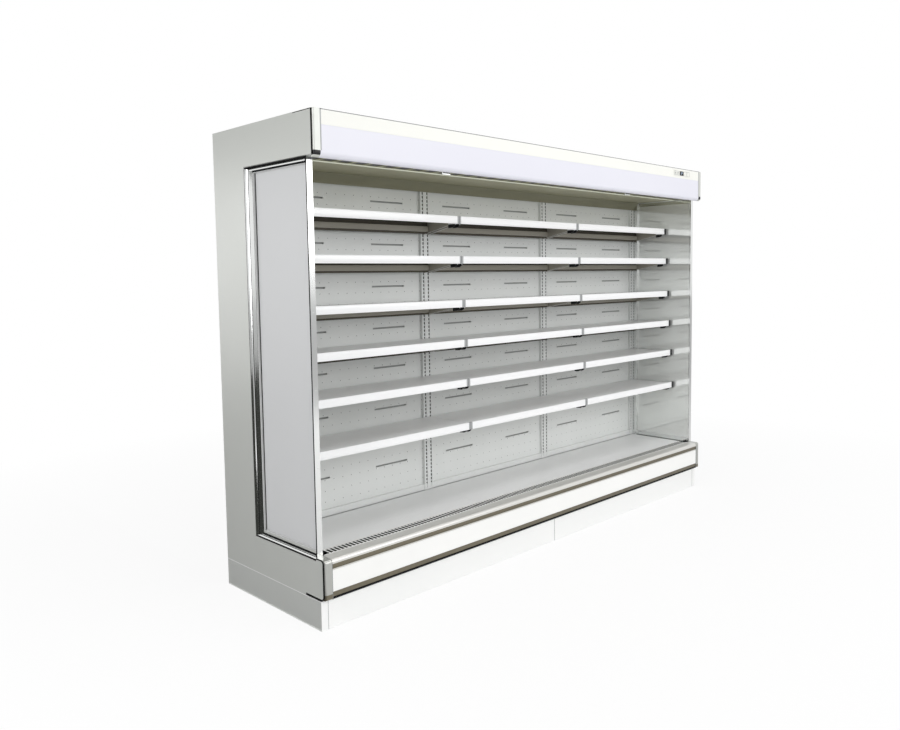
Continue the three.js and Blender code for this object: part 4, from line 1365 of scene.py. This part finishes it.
@dataclass
class NightBlinds(Assembly):
    """Two spring-rolled night blinds above the opening."""

    roll_rear: float = 694.0
    roll_height: float = 1880.0
    roll: float = 24.0
    tube: float = 16.0
    pin: float = 4.0
    bracket: float = 3.0
    step: float = 12.0
    layers: int = 8
    fabric: float = 0.8
    fabric_inset: float = 10.0
    bar_top: float = 1846.0
    columns: int = 12
    rows: int = 48
    ribs: int = 8
    rib_pitch: float = 5.2
    grips: dict[str, float] = field(default_factory=lambda: {"left": -746.25, "right": 660.0})

    def build(self) -> None:
        """Makes the rolls and fabric and dresses the bars."""
        dress(SATIN_METAL, "blind_handle_left", "blind_handle_right")
        self.wound_rolls()
        for side, sign in (("left", -1), ("right", 1)):
            self.hanging_fabric(side, sign)
            self.grip_pad(side)

    def limits(self) -> Pair:
        """X of the right-hand blind's two brackets' inner faces."""
        return self.bracket, self.body.inside - SEAT - self.bracket

    def grip_pad(self, side: str) -> None:
        """Makes the ribbed black pad on the front of a blind's grip.

        Args:
            side: which blind it is.
        """
        low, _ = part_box(f"blind_handle_{side}")
        start, front, foot = self.grips[side] - 19, DEPTH / 2 - low[1] / MM, low[2] / MM
        ribs = Shape.gather(
            slab((x, x + 3.4), (front + 0.05, front + 0.7), (foot + 3.5, foot + 14))
            for x in start + self.rib_pitch * np.arange(self.ribs)
        )
        bar = f"blind_bar_{side}"
        make_piece(f"grip_pad_{side}", ribs, BLACK_CAP, body=bar, bevel=0.3)

    def wound_rolls(self) -> None:
        """Makes the rolls: layers that step in at both ends, on a tube with its pins."""
        start, end = self.limits()
        a, b = start + 1.5, end - 1.5
        radii = np.linspace(self.tube + 1.0, self.roll, self.layers)
        inset = a + self.step + 0.25 * (self.layers - 1 - np.arange(self.layers))
        tube = [(a, self.tube - 2), (a + 1.5, self.tube), (inset[0], self.tube)]
        half = [(a - 2.5, self.pin), (a, self.pin), *tube, *zip(inset, radii)]
        profile = [*half, *((a + b - x, radius) for x, radius in half[::-1])]
        shape = turned(profile, self.roll_rear, self.roll_height)
        make_pair("wound_blind", shape, BLIND_CLOTH, "blind_roller", "blind_roll")

    def hanging_fabric(self, side: str, sign: int) -> None:
        """Makes the fabric between roll and bar, as one fixed sheet on no body.

        Args:
            side: which blind it is.
            sign: -1 for the left one, 1 for the right one.
        """
        start, end = self.limits()
        left, right = start + self.step + self.fabric_inset, end - self.step - self.fabric_inset
        front = self.roll_rear + self.roll + SEAT + self.fabric
        low, high = self.bar_top + SEAT, self.roll_height
        u, v = np.linspace(left, right, self.columns + 1), np.linspace(low, high, self.rows + 1)
        shape = plate(u, v, np.zeros((self.columns, self.rows), bool), front, self.fabric)
        piece = make_piece(
            f"hanging_fabric_{side}",
            shape if sign > 0 else shape.mirrored(),
            BLIND_CLOTH,
            body=None,
            replaces=[f"blind_fabric_{side}"],
        )
        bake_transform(piece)


@dataclass
class Bumper(Assembly):
    """The bumper: polished nose, white insert and end caps, with a dark olive band, flange and cap
    feet coloured as painted shade, and a black lower edge of painted shadow.
    """

    cap_width: float = 37.0
    plate: float = 4.0
    plate_start: float = 692.0
    nose: float = 16.0
    nose_bottom: float = 268.0
    band_bottom: float = 248.0
    band_depth: float = 8.0
    rim_depth: float = 1.0
    insert_depth: float = 5.3
    insert_top: float = 243.0
    insert_bottom: float = 157.0
    flange_bottom: float = 137.5
    bottom: float = 127.0
    panel_corner: float = 12.0
    panel_bottom: float = 130.3
    # the seal is drawn wider than a real one: the extra black is painted shade at the cap's rear
    # edge
    front_seal: float = 7.0
    edge: float = 3.2
    corner: Pair = (11.0, 6.4)
    cap_line: float = 2.2
    cap_split: float = 150.0
    top_seal: float = 3.2
    under_seal: float = 2.6
    # from-the-rear limits of the black strip of painted shadow under the end wall's foot
    foot_shadow_strip: Pair = (618.5, 723.5)

    def build(self) -> None:
        """Makes the bumper's profile in its finishes, the insert and both caps."""
        dress(WHITE_INSERT, "bumper_insert")
        self.profile()
        self.trims()
        self.caps()

    def nose_arc(self) -> Loop:
        """The rounded nose from its top to its front."""
        return arc((DEPTH - self.nose, self.body.bumper_top - self.nose), self.nose, 90, 0, 14)

    def reach(self) -> float:
        """X where the profile ends at the right-hand cap."""
        return self.body.half - self.cap_width - SEAT

    def profile(self) -> None:
        """Makes the aluminium profile that holds band and insert."""
        rear, high, foot = self.body.front + SEAT, self.body.bumper_top, self.bottom + 1
        ledges = (
            (self.band_depth, self.nose_bottom, self.band_bottom),
            (self.rim_depth, self.band_bottom, self.insert_top),
            (self.insert_depth, self.insert_top, self.insert_bottom),
            (self.insert_depth + 1.2, self.insert_bottom, foot + 8),
        )
        section = [
            (self.plate_start, high),
            *self.nose_arc(),
            (DEPTH, self.nose_bottom),
            *((DEPTH - inset, z) for inset, upper, lower in ledges for z in (upper, lower)),
            *((DEPTH - 12, foot), (rear, foot)),
            *((rear, high - self.plate), (self.plate_start, high - self.plate)),
        ]
        shape, node = along_x(section, -self.reach(), self.reach()), "bumper_profile"
        make_piece("bumper_nose_profile", shape, BRIGHT_BUMPER, replaces=[node])

    def trims(self) -> None:
        """Makes the dark olive band under the nose and the olive flange, both painted shade, and
        the black edge below them, painted shadow over the plinth.
        """
        tall = self.nose_bottom - self.band_bottom
        band = [(0.1, 0.3), (3.5, 0.3), (5, 6), (5, tall - 6), (3.5, tall - 0.3), (0.1, tall - 0.3)]
        drop = self.flange_bottom - self.insert_bottom
        flange = [(-6.3, -0.4), (-1.2, -0.4), (-1, -4), (-3.2, -9), (-3.8, drop), (-6.3, drop)]
        top = self.flange_bottom - 0.2 - self.bottom
        foot = arc((-5.4, 2.4), 2, 0, -90, 6)
        # a black edge of painted shadow over the plinth
        painted_shadow = [(-6.3, top), (-3.4, top), *foot, (-12, 0.4), (-12, 0.9), (-6.3, 9)]
        for name, rear, z, section, finish in (
            ("bumper_band", DEPTH - self.band_depth, self.band_bottom, band, OLIVE_PAINTED_SHADE),
            ("bumper_flange", DEPTH, self.insert_bottom, flange, OLIVE_PAINTED_SHADE),
            ("bumper_rubber_edge", DEPTH, self.bottom, painted_shadow, BLACK_SEAL),
        ):
            shape = along_x(placed(rear, z, section), -self.reach(), self.reach())
            make_piece(name, shape, finish, smooth=50)

    def caps(self) -> None:
        """Makes the end caps, and the black seal between each and the end wall's rounded front,
        widened with painted shade, and a black strip of painted shadow under the wall's front foot.
        """
        corner, split = self.panel_corner, self.cap_split
        centre, start = self.body.front - corner, self.body.glazing_front + 2 * SEAT
        high = self.body.bumper_top - self.plate - SEAT - corner
        low = self.panel_bottom + corner

        def bend(z: float, across: float, up: float, first: float, last: float) -> Loop:
            """A quarter ellipse round one of the end wall's corners."""
            turn = np.radians(np.linspace(first, last, 11))
            return [(centre + across * math.cos(t), z + up * math.sin(t)) for t in turn]

        front, snug = corner + self.front_seal, corner + SEAT
        upper = bend(high, front, corner + self.top_seal, 90, 0)
        lower = bend(low, front, corner + self.under_seal, 0, -90)
        wall = [*bend(low, snug, snug, -90, 0), *bend(high, snug, snug, 0, 90)]
        top = high + corner + self.top_seal
        side, end = self.body.half - self.cap_width, self.body.half
        cap, foot = (
            along_x(section, side + self.cap_line, end - self.edge, *self.corner)
            for section in (
                [
                    (start, self.body.bumper_top),
                    *self.nose_arc(),
                    (DEPTH, split + 0.1),
                    (centre + front, split + 0.1),
                    *upper[::-1],
                    (start, top),
                ],
                [
                    (DEPTH, split - 0.1),
                    *arc((DEPTH - 10, self.bottom + 10), 10, 0, -90, 10),
                    (centre, self.bottom),
                    *lower[::-1],
                    (centre + front, split - 0.1),
                ],
            )
        )
        heights = (self.bottom + 1, self.nose_bottom + 2)
        line = slab((side, side + self.cap_line - 0.1), (DEPTH - 12, DEPTH - 0.5), heights)
        around = [(start, top - 0.05), *upper, *lower, *wall, (start, high + snug)]
        # the strip under the foot is painted shadow
        heights = (121.5, self.panel_bottom - 0.1)
        seal = Shape.gather(
            [
                along_x(around, side + 1, end - 0.1),
                slab((side + 1, end - 0.1), self.foot_shadow_strip, heights),
            ]
        )
        make_pair("bumper_cap", cap, BUMPER_CAP, "bumper_end_cap", smooth=50)
        make_pair("bumper_cap_seal", seal, BLACK_SEAL)
        make_pair("bumper_cap_foot", foot, OLIVE_PAINTED_SHADE, smooth=50)
        make_pair("bumper_cap_line", line, GREY_CAP)


@dataclass
class RearWall(Assembly):
    """The duct panel and the slotted uprights in front of it."""

    pitch: float = 19.0
    slot: Pair = (8.5, 12.5)
    offset: float = 15.5
    width: float = 60.0
    depth: float = 14.7
    sheet: float = 3.0
    rail: float = 30.0
    low: float = 287.3
    high: float = 1834.7

    def build(self) -> None:
        """Dresses the duct panel and evaporator and makes the slotted uprights."""
        dress(WHITE_DUCT, "duct_back_panel")
        dress(COIL_FINS, "evaporator_coil")
        shape = Shape.gather([*map(self.post, self.body.joints()), *self.rails()])
        node = "upright_frame"
        make_piece("slotted_uprights", shape, WHITE_UPRIGHT, replaces=[node])
        # painted shade inside the uprights, seen through their slots
        make_piece("upright_hollows", self.painted_hollow_shade(), BLACK_CAP)
        # a grey sheet of painted shade behind the duct panel, seen through its slots
        reach = self.body.inside - 4
        liner = slab((-reach, reach), (254.0, 255.0), (self.low + 20, self.high - 20))
        make_piece("duct_liner", liner, LINER_PAINTED_SHADE)

    def painted_hollow_shade(self) -> Shape:
        """Dark sheets inside the uprights, seen through their slots: painted shade where the
        hollows lie in shadow.

        Returns:
            The dark sheets of painted shade.
        """
        rear, z = self.body.upright_front - self.sheet, (self.low + 31, self.high - 31)
        reach = self.body.inside - SEAT - 3.5
        half = self.width / 2 - self.sheet - 0.5
        return Shape.gather(
            slab((max(x - half, -reach), min(x + half, reach)), (rear - 2.4, rear - 1.6), z)
            for x in self.body.joints()
        )

    def slot_edges(self) -> np.ndarray:
        """Heights of all slot edges: each slot is centred a whole number of pitches from a hook.

        Returns:
            The heights, from the lowest up.
        """
        hook = self.body.shelf_rails[0] + 10
        count = math.floor((hook - self.low - 12) / self.pitch)
        middles = hook - self.pitch * np.arange(count, -10, -1)
        return np.sort(np.concatenate([middles - self.slot[1] / 2, middles + self.slot[1] / 2]))

    def post(self, x: float) -> Shape:
        """One upright: a slotted front web and two flanges that run back to the duct.

        Args:
            x: the joint that it stands at.

        Returns:
            The upright.
        """
        reach, face = self.body.inside - SEAT, self.body.upright_front
        left, right = max(x - self.width / 2, -reach), min(x + self.width / 2, reach)
        lines = [
            at + way
            for at in (x - self.offset, x + self.offset)
            if abs(at) < reach
            for way in (-self.slot[0] / 2, self.slot[0] / 2)
        ]
        u, v = [left, *lines, right], [self.low, *self.slot_edges(), self.high]
        every_other = np.outer(np.arange(len(u) - 1) % 2, np.arange(len(v) - 1) % 2) > 0
        web = plate(u, v, every_other, face, self.sheet)
        rear = (face - self.depth, face - self.sheet)
        flanges = [
            slab((at, at + self.sheet), rear, (self.low, self.high))
            for at in (left, right - self.sheet)
        ]
        return Shape.gather([web, *flanges])

    def rails(self) -> list[Shape]:
        """The two cross rails that join the uprights.

        Returns:
            The lower and the upper one.
        """
        reach, face = self.body.inside - SEAT, self.body.upright_front
        rear = (face - self.depth, face - self.sheet - 0.1)
        starts = (self.low, self.high - self.rail)
        return [slab((-reach, reach), rear, (z, z + self.rail)) for z in starts]


@dataclass
class Shelving(Assembly):
    """What is on the shelves: label strips, end caps, brackets' sides and shoes, undersides."""

    rail: float = 35.0
    lip: float = 4.0
    recess: float = 1.5
    gap: float = 25.0
    bracket: float = 15.5
    tray_below_top: float = 9.0
    black_end: float = 24.0
    end_clearance: float = 0.9
    frame_inset: float = 31.0
    bracket_drop: float = 44.0
    bracket_thickness: float = 3.0
    shoe: float = 6.4
    shoe_section: Loop = ((-58, -2), (-58, -19), (-30, -17), (-19, -12), (-13.5, -4), (-13.5, -1))
    beam_section: Loop = ((0, -30), (38, -30), (40, -28), (40, -5), (38, -3), (0, -3))
    folds: Pair = (0.36, 0.7)
    fold_section: Loop = (
        (-30, 0), (-30, -1.2), (-18, -1.2), (-14, -8), (14, -8), (18, -1.2), (30, -1.2), (30, 0)
    )

    def build(self) -> None:
        """Dresses the shelves and adds the small parts, one piece for each row."""
        for row in range(len(self.body.shelf_rails)):
            dress(WHITE_SHELF, *(f"shelf_row{row + 1}_bay{b + 1}" for b in range(self.body.bays)))
            self.label_strips(row)
            self.end_caps(row)
            self.underside(row)
            self.cross_beams(row)
            self.brackets(row)

    def half(self) -> float:
        """Half the length of a shelf's price rail."""
        return (self.body.bay - self.gap) / 2

    def along_bays(self, section: Loop, short: float) -> Shape:
        """A section carried along the shelf of every bay, ending short of its price rail's ends."""
        reach = self.half() - short
        return Shape.gather(along_x(section, x - reach, x + reach) for x in self.body.bay_middles())

    def label_strips(self, row: int) -> None:
        """Makes the clear label strips of a row, which bow gently out of the rail's channel.

        Args:
            row: the row, counted from the top.
        """
        low = self.body.shelf_rails[row] + self.lip + 0.2
        high = self.body.shelf_rails[row] + self.rail - self.lip - 0.2
        face = self.body.shelf_front(row) - self.recess
        share = np.linspace(0, 1, 7)
        bow = face + 0.5 + 3.6 * share * (1 - share)
        section = [(face + 0.1, low), *zip(bow, low + (high - low) * share), (face + 0.1, high)]
        shape = self.along_bays(section, 1)
        make_piece(f"label_strips_row{row + 1}", shape, LABEL_STRIP)

    def end_caps(self, row: int) -> None:
        """Makes the moulded ends of the price rails: grey at the joints, black at the end walls.

        Args:
            row: the row, counted from the top.
        """
        low, front = self.body.shelf_rails[row], self.body.shelf_front(row)
        z = (low - 0.4, low + self.rail + 0.4)
        rear = (front - 12, front + 0.4)
        joints: list[Shape] = []
        white: list[Shape] = []
        black: list[Shape] = []
        reach = self.body.half - self.frame_inset - self.end_clearance
        for x in self.body.bay_middles():
            for way in (-1, 1):
                start = x + way * (self.half() + 0.3)
                if abs(x + way * self.body.bay / 2) > self.body.inside - 1:
                    turn = way * (reach - self.black_end)
                    white.append(slab(sorted((start, turn)), rear, (z[0] + 0.4, z[1] - 0.4)))
                    black.append(slab(sorted((turn, way * reach)), rear, z))
                else:
                    end = x + way * (self.body.bay / 2 - 1.2)
                    joints.append(slab(sorted((start, end)), rear, z))
        for name, parts, finish in (
            ("rail_joints", joints, JOINT_CAP),
            ("rail_extensions", white, WHITE_SHELF),
            ("rail_ends", black, BLACK_CAP),
        ):
            shape = Shape.gather(parts)
            make_piece(f"{name}_row{row + 1}", shape, finish, bevel=0.8)

    def underside(self, row: int) -> None:
        """Makes the grey undersides of a row's trays with their two folded stiffeners, the grey
        painted shade under the white shelves.

        Args:
            row: the row, counted from the top.
        """
        tray = self.body.shelf_rails[row] + self.rail - self.tray_below_top
        front, rear = self.body.shelf_front(row), self.body.upright_front
        skin = rectangle((rear + 5, front - 9.5), (tray - 0.9, tray - 0.2))
        parts = [self.along_bays(skin, 7)]
        low = tray - 1.0
        for share in self.folds:
            middle = rear + (front - rear) * share
            parts.append(self.along_bays(placed(middle, low, self.fold_section), 9))
        make_piece(f"tray_undersides_row{row + 1}", Shape.gather(parts), UNDERSIDE_PAINTED_SHADE)

    def cross_beams(self, row: int) -> None:
        """Makes the channel that joins a shelf's two brackets at the rear, below the tray, in grey
        and near-black that paint the shade under the rail.

        Args:
            row: the row, counted from the top.
        """
        low, rear = self.body.shelf_rails[row], self.body.upright_front + 6
        tray = low + self.rail - self.tray_below_top - 9.5
        for name, section, finish in (
            ("beam_faces", placed(rear, low, self.beam_section), UNDERSIDE_PAINTED_SHADE),
            ("beam_webs", rectangle((rear, rear + 32), (low - 39, low - 30.2)), DARK_PAINTED_SHADE),
            ("beam_necks", rectangle((rear, rear + 32), (low - 2.8, tray)), DARK_PAINTED_SHADE),
        ):
            shape = self.along_bays(section, 8)
            make_piece(f"{name}_row{row + 1}", shape, finish)

    def brackets(self, row: int) -> None:
        """Makes grey skins of painted shade on the sides of a row's brackets, and the black shoes
        on their tips.

        Args:
            row: the row, counted from the top.
        """
        low, front = self.body.shelf_rails[row], self.body.shelf_front(row)
        rear, tray = self.body.upright_front + 1, low + self.rail - self.tray_below_top - 1
        tip = placed(front, low, self.shoe_section)
        side = [
            (rear, low - self.bracket_drop + 1.2),
            (front - 59, low - 6.0),
            (front - 59, tray),
            (rear, tray),
        ]
        at, half = self.body.bay / 2 - self.bracket, self.shoe / 2
        middles = [x + way * at for x in self.body.bay_middles() for way in (-1, 1)]
        shoes = Shape.gather(along_x(tip, x - half, x + half) for x in middles)
        make_piece(f"bracket_shoes_row{row + 1}", shoes, BLACK_CAP, bevel=1.0)
        face = self.bracket_thickness / 2 + 0.1
        sides = Shape.gather(
            along_x(side, x + start, x + start + 0.4)
            for x in middles
            for start in (-face - 0.4, face)
        )
        make_piece(f"bracket_sides_row{row + 1}", sides, UNDERSIDE_PAINTED_SHADE)


@dataclass
class Deck(Assembly):
    """Deck trays, the louvred return grille and the fans below them."""

    rear: float = 627.3
    front: float = 691.7
    thickness: float = 3.0
    depth: float = 10.0
    pitch: float = 18.75
    bar: float = 7.0
    top: float = 0.45
    lean: float = 8.0
    edge: float = 9.0

    def build(self) -> None:
        """Dresses the trays and rotors and makes the grille."""
        bays = range(1, self.body.bays + 1)
        dress(WHITE_SHELF, *(f"deck_tray_bay{bay}" for bay in bays))
        dress(ROTOR_PLASTIC, *(f"fan_rotor_bay{bay}" for bay in bays))
        self.grille()

    def grille(self) -> None:
        """Makes the grille: two long rails, white bar tops on black leaning blades whose sides
        paint the shade between the bars, and a black sheet of painted shade beneath.
        """
        top, reach = self.body.bumper_top, self.body.inside - SEAT
        z, foot = (top - self.thickness, top), top - self.depth
        rear, front = self.rear + self.edge, self.front - self.edge
        bright = [
            slab((-reach, reach), (self.rear, rear), z),
            slab((-reach, reach), (front, self.front), z),
        ]
        count = int(2 * (reach - self.bar - self.lean) / self.pitch)
        painted_shade_blades = []
        for x in (np.arange(count) - (count - 1) / 2) * self.pitch:
            left, right = x + self.lean, x + self.lean + self.bar
            corners = [(left, front), (right, front), (right, rear), (left, rear)]
            ring = np.array([(u, DEPTH / 2 - r, foot) for u, r in corners])
            painted_shade_blades.append(loft(np.stack([ring, ring + [-self.lean, 0, self.depth - 0.5]])))
            bright.append(slab((x, x + self.bar), (rear, front), (top - self.top, top)))
        # painted shade: a black sheet where the grille's gaps would only be dark
        mesh = slab((-reach, reach), (rear, front), (foot - 1.2, foot - 0.3))
        for name, shape, finish, nodes in (
            ("grille_catch_mesh", mesh, BLACK_SEAL, []),
            ("grille_blades", Shape.gather(painted_shade_blades), BLACK_CAP, []),
            ("louvred_return_grille", Shape.gather(bright), GRILLE_METAL, ["return_grille"]),
        ):
            make_piece(name, shape, finish, body="grille", replaces=nodes)


# ---- Studio ----


def turned_by(*turns: tuple[str, float]) -> Matrix:
    """A matrix for turns about axes in degrees, each about the axes that the last one left.

    Args:
        *turns: an axis and an angle each.

    Returns:
        The 4 x 4 matrix.
    """
    matrix = Matrix.Identity(4)
    for axis, angle in turns:
        matrix = matrix @ Matrix.Rotation(math.radians(angle), 4, axis)
    return matrix


@dataclass
class Studio:
    """Camera, lamps, pale floor and white surroundings."""

    eye: Point = (-3.17360, -2.85654, 1.37643)
    yaw: float = 45.26008
    pitch: float = -4.440874
    roll: float = -0.7394506
    lens: float = 31.7744
    shift: Pair = (-0.016828, -0.031313)
    world_light: float = 0.55
    floor_half: float = 40.0

    def build(self) -> None:
        """Sets up the whole studio."""
        self.camera()
        self.world()
        self.floor()
        self.lamps()
        self.cards()

    def camera(self) -> None:
        """Places the camera where the photograph was taken from."""
        lens = bpy.data.cameras.new("photo_camera")
        lens.lens = self.lens
        lens.sensor_width = 36.0
        lens.sensor_fit = "HORIZONTAL"
        lens.shift_x, lens.shift_y = self.shift
        lens.clip_end = 200.0
        camera = add_object("photo_camera", lens)
        camera.matrix_world = Matrix.Translation(self.eye) @ turned_by(
            ("Z", -self.yaw), ("X", 90 + self.pitch), ("Z", self.roll)
        )
        bpy.context.scene.camera = camera

    def world(self) -> None:
        """Makes the surroundings white where they are seen, and dimmer where they light."""
        world = bpy.data.worlds.new("white_studio")
        bpy.context.scene.world = world
        world.use_nodes = True
        graph = Graph(world.node_tree)
        graph.tree.nodes.clear()
        rays = graph.add("LightPath").outputs
        seen = graph.sum("ADD", rays["Is Camera Ray"], rays["Is Glossy Ray"])
        seen = graph.sum("ADD", seen, rays["Is Transmission Ray"], use_clamp=True)
        limits = {"Value": seen, "To Min": self.world_light, "To Max": 1.0}
        strength = graph.add("MapRange", limits).outputs["Result"]
        white = {"Color": (1.0, 1.0, 1.0, 1.0), "Strength": strength}
        background = graph.add("Background", white)
        graph.add("OutputWorld", {"Surface": background.outputs["Background"]})

    def floor(self) -> None:
        """Makes a pale floor that keeps the cabinet's shadow and turns white away from it."""
        half = self.floor_half
        corners = [(-half, -half, 0), (half, -half, 0), (half, half, 0), (-half, half, 0)]
        floor, graph = self.sheet("studio_floor", corners, "pale_studio_floor")
        shader = graph.tree.nodes["Principled BSDF"]
        shader.inputs["Base Color"].default_value = linear("#f4f4f4")
        shader.inputs["Roughness"].default_value = 0.85
        glow = graph.add("Emission", {"Color": (1, 1, 1, 1), "Strength": 1.0})
        away = graph.add("VectorMath", {0: graph.place()}, operation="LENGTH").outputs["Value"]
        reach = {"From Min": 1.6, "From Max": 4.0, "To Min": 0.86, "To Max": 1.0}
        spread = graph.add("MapRange", {"Value": away, **reach}).outputs["Result"]
        seen = graph.add("LightPath").outputs["Is Camera Ray"]
        share = graph.sum("MULTIPLY", spread, seen)
        parts = {0: share, 1: shader.outputs["BSDF"], 2: glow.outputs["Emission"]}
        mix = graph.add("MixShader", parts)
        surface = graph.tree.nodes["Material Output"].inputs["Surface"]
        graph.tree.links.new(mix.outputs["Shader"], surface)

    def lamps(self) -> None:
        """Hangs soft lamps: a large one in front and above, a fill from the left, one overhead."""
        self.soft_lamp("front_softbox", (0.9, -4.6, 2.7), (0.0, 0.0, 0.9), (4.5, 2.4), 95)
        self.soft_lamp("left_fill", (-4.5, -0.6, 2.2), (-1.0, 0.0, 1.0), (2.0, 2.5), 55)
        self.soft_lamp("overhead", (0.0, -0.8, 4.6), (0.0, 0.0, 0.0), (4.0, 2.0), 40)

    def cards(self) -> None:
        """Stands dark cards where only polished metal and glass see them, for their contrast."""
        self.card("left_floor_card", (-5.23, 3.35, 0.004), (3.777, 4.05), 0.0, 0.0, "#3c3d3a")
        self.card("left_upper_card", (-4.3, 4.6, 3.5), (4.2, 1.0), 90.0, 32.0, "#6f716d")
        self.card("right_card", (4.4, 3.6, 1.5), (1.6, 2.6), 90.0, -50.0, "#4a4a46")

    def sheet(
        self, name: str, corners: Sequence[Sequence[float]], material_name: str
    ) -> tuple[bpy.types.Object, Graph]:
        """Adds a four-cornered sheet with a material of its own.

        Args:
            name: its name.
            corners: its corners, in metres.
            material_name: the material's name.

        Returns:
            The object and its material's nodes.
        """
        mesh = bpy.data.meshes.new(name)
        mesh.from_pydata(corners, [], [(0, 1, 2, 3)])
        material = bpy.data.materials.new(material_name)
        material.use_nodes = True
        mesh.materials.append(material)
        return add_object(name, mesh), Graph(material.node_tree)

    def card(
        self, name: str, at: Point, half: Pair, tip: float, turn: float, colour: str
    ) -> None:
        """Stands one card that only reflections show.

        Args:
            name: its name.
            at: its middle, in metres.
            half: half its width and height in metres.
            tip: 0 to lie on the floor, 90 to stand up.
            turn: degrees that it is turned about the vertical.
            colour: its colour.
        """
        stand = Matrix.Translation(at) @ turned_by(("Z", turn), ("X", tip))
        signs = ((-1, -1), (1, -1), (1, 1), (-1, 1))
        corners = [stand @ Vector((a * half[0], b * half[1], 0)) for a, b in signs]
        card, graph = self.sheet(name, corners, name)
        graph.tree.nodes.clear()
        glow = graph.add("Emission", {"Color": linear(colour), "Strength": 1.0})
        graph.add("OutputMaterial", {"Surface": glow.outputs["Emission"]})
        card.visible_camera = False
        card.visible_diffuse = False
        card.visible_shadow = False
        card.visible_transmission = False

    def soft_lamp(self, name: str, at: Point, towards: Point, size: Pair, power: float) -> None:
        """Hangs one rectangular area lamp.

        Args:
            name: its name.
            at: where it hangs, in metres.
            towards: the point that it faces.
            size: its width and height in metres.
            power: watts.
        """
        lamp = bpy.data.lights.new(name, "AREA")
        lamp.shape = "RECTANGLE"
        lamp.size, lamp.size_y = size
        lamp.energy = power
        obj = add_object(name, lamp)
        obj.location = at
        obj.rotation_mode = "QUATERNION"
        obj.rotation_quaternion = (Vector(towards) - Vector(at)).to_track_quat("-Z", "Y")


def main() -> None:
    """Builds the studio and every sub-assembly in order."""
    logging.basicConfig(level=logging.INFO, format="%(name)s: %(message)s")
    bpy.context.scene.view_settings.view_transform = "Standard"
    for assembly in (
        Studio(),
        Carcass(),
        EndWalls(),
        Canopy(),
        Controller(),
        NightBlinds(),
        Bumper(),
        RearWall(),
        Shelving(),
        Deck(),
    ):
        before = set(bpy.data.objects)
        assembly.build()
        made = sorted(o.name for o in set(bpy.data.objects) - before)
        LOG.info("%s: %s", type(assembly).__name__, ", ".join(made) or "dressed")


if __name__ == "__main__":
    main()
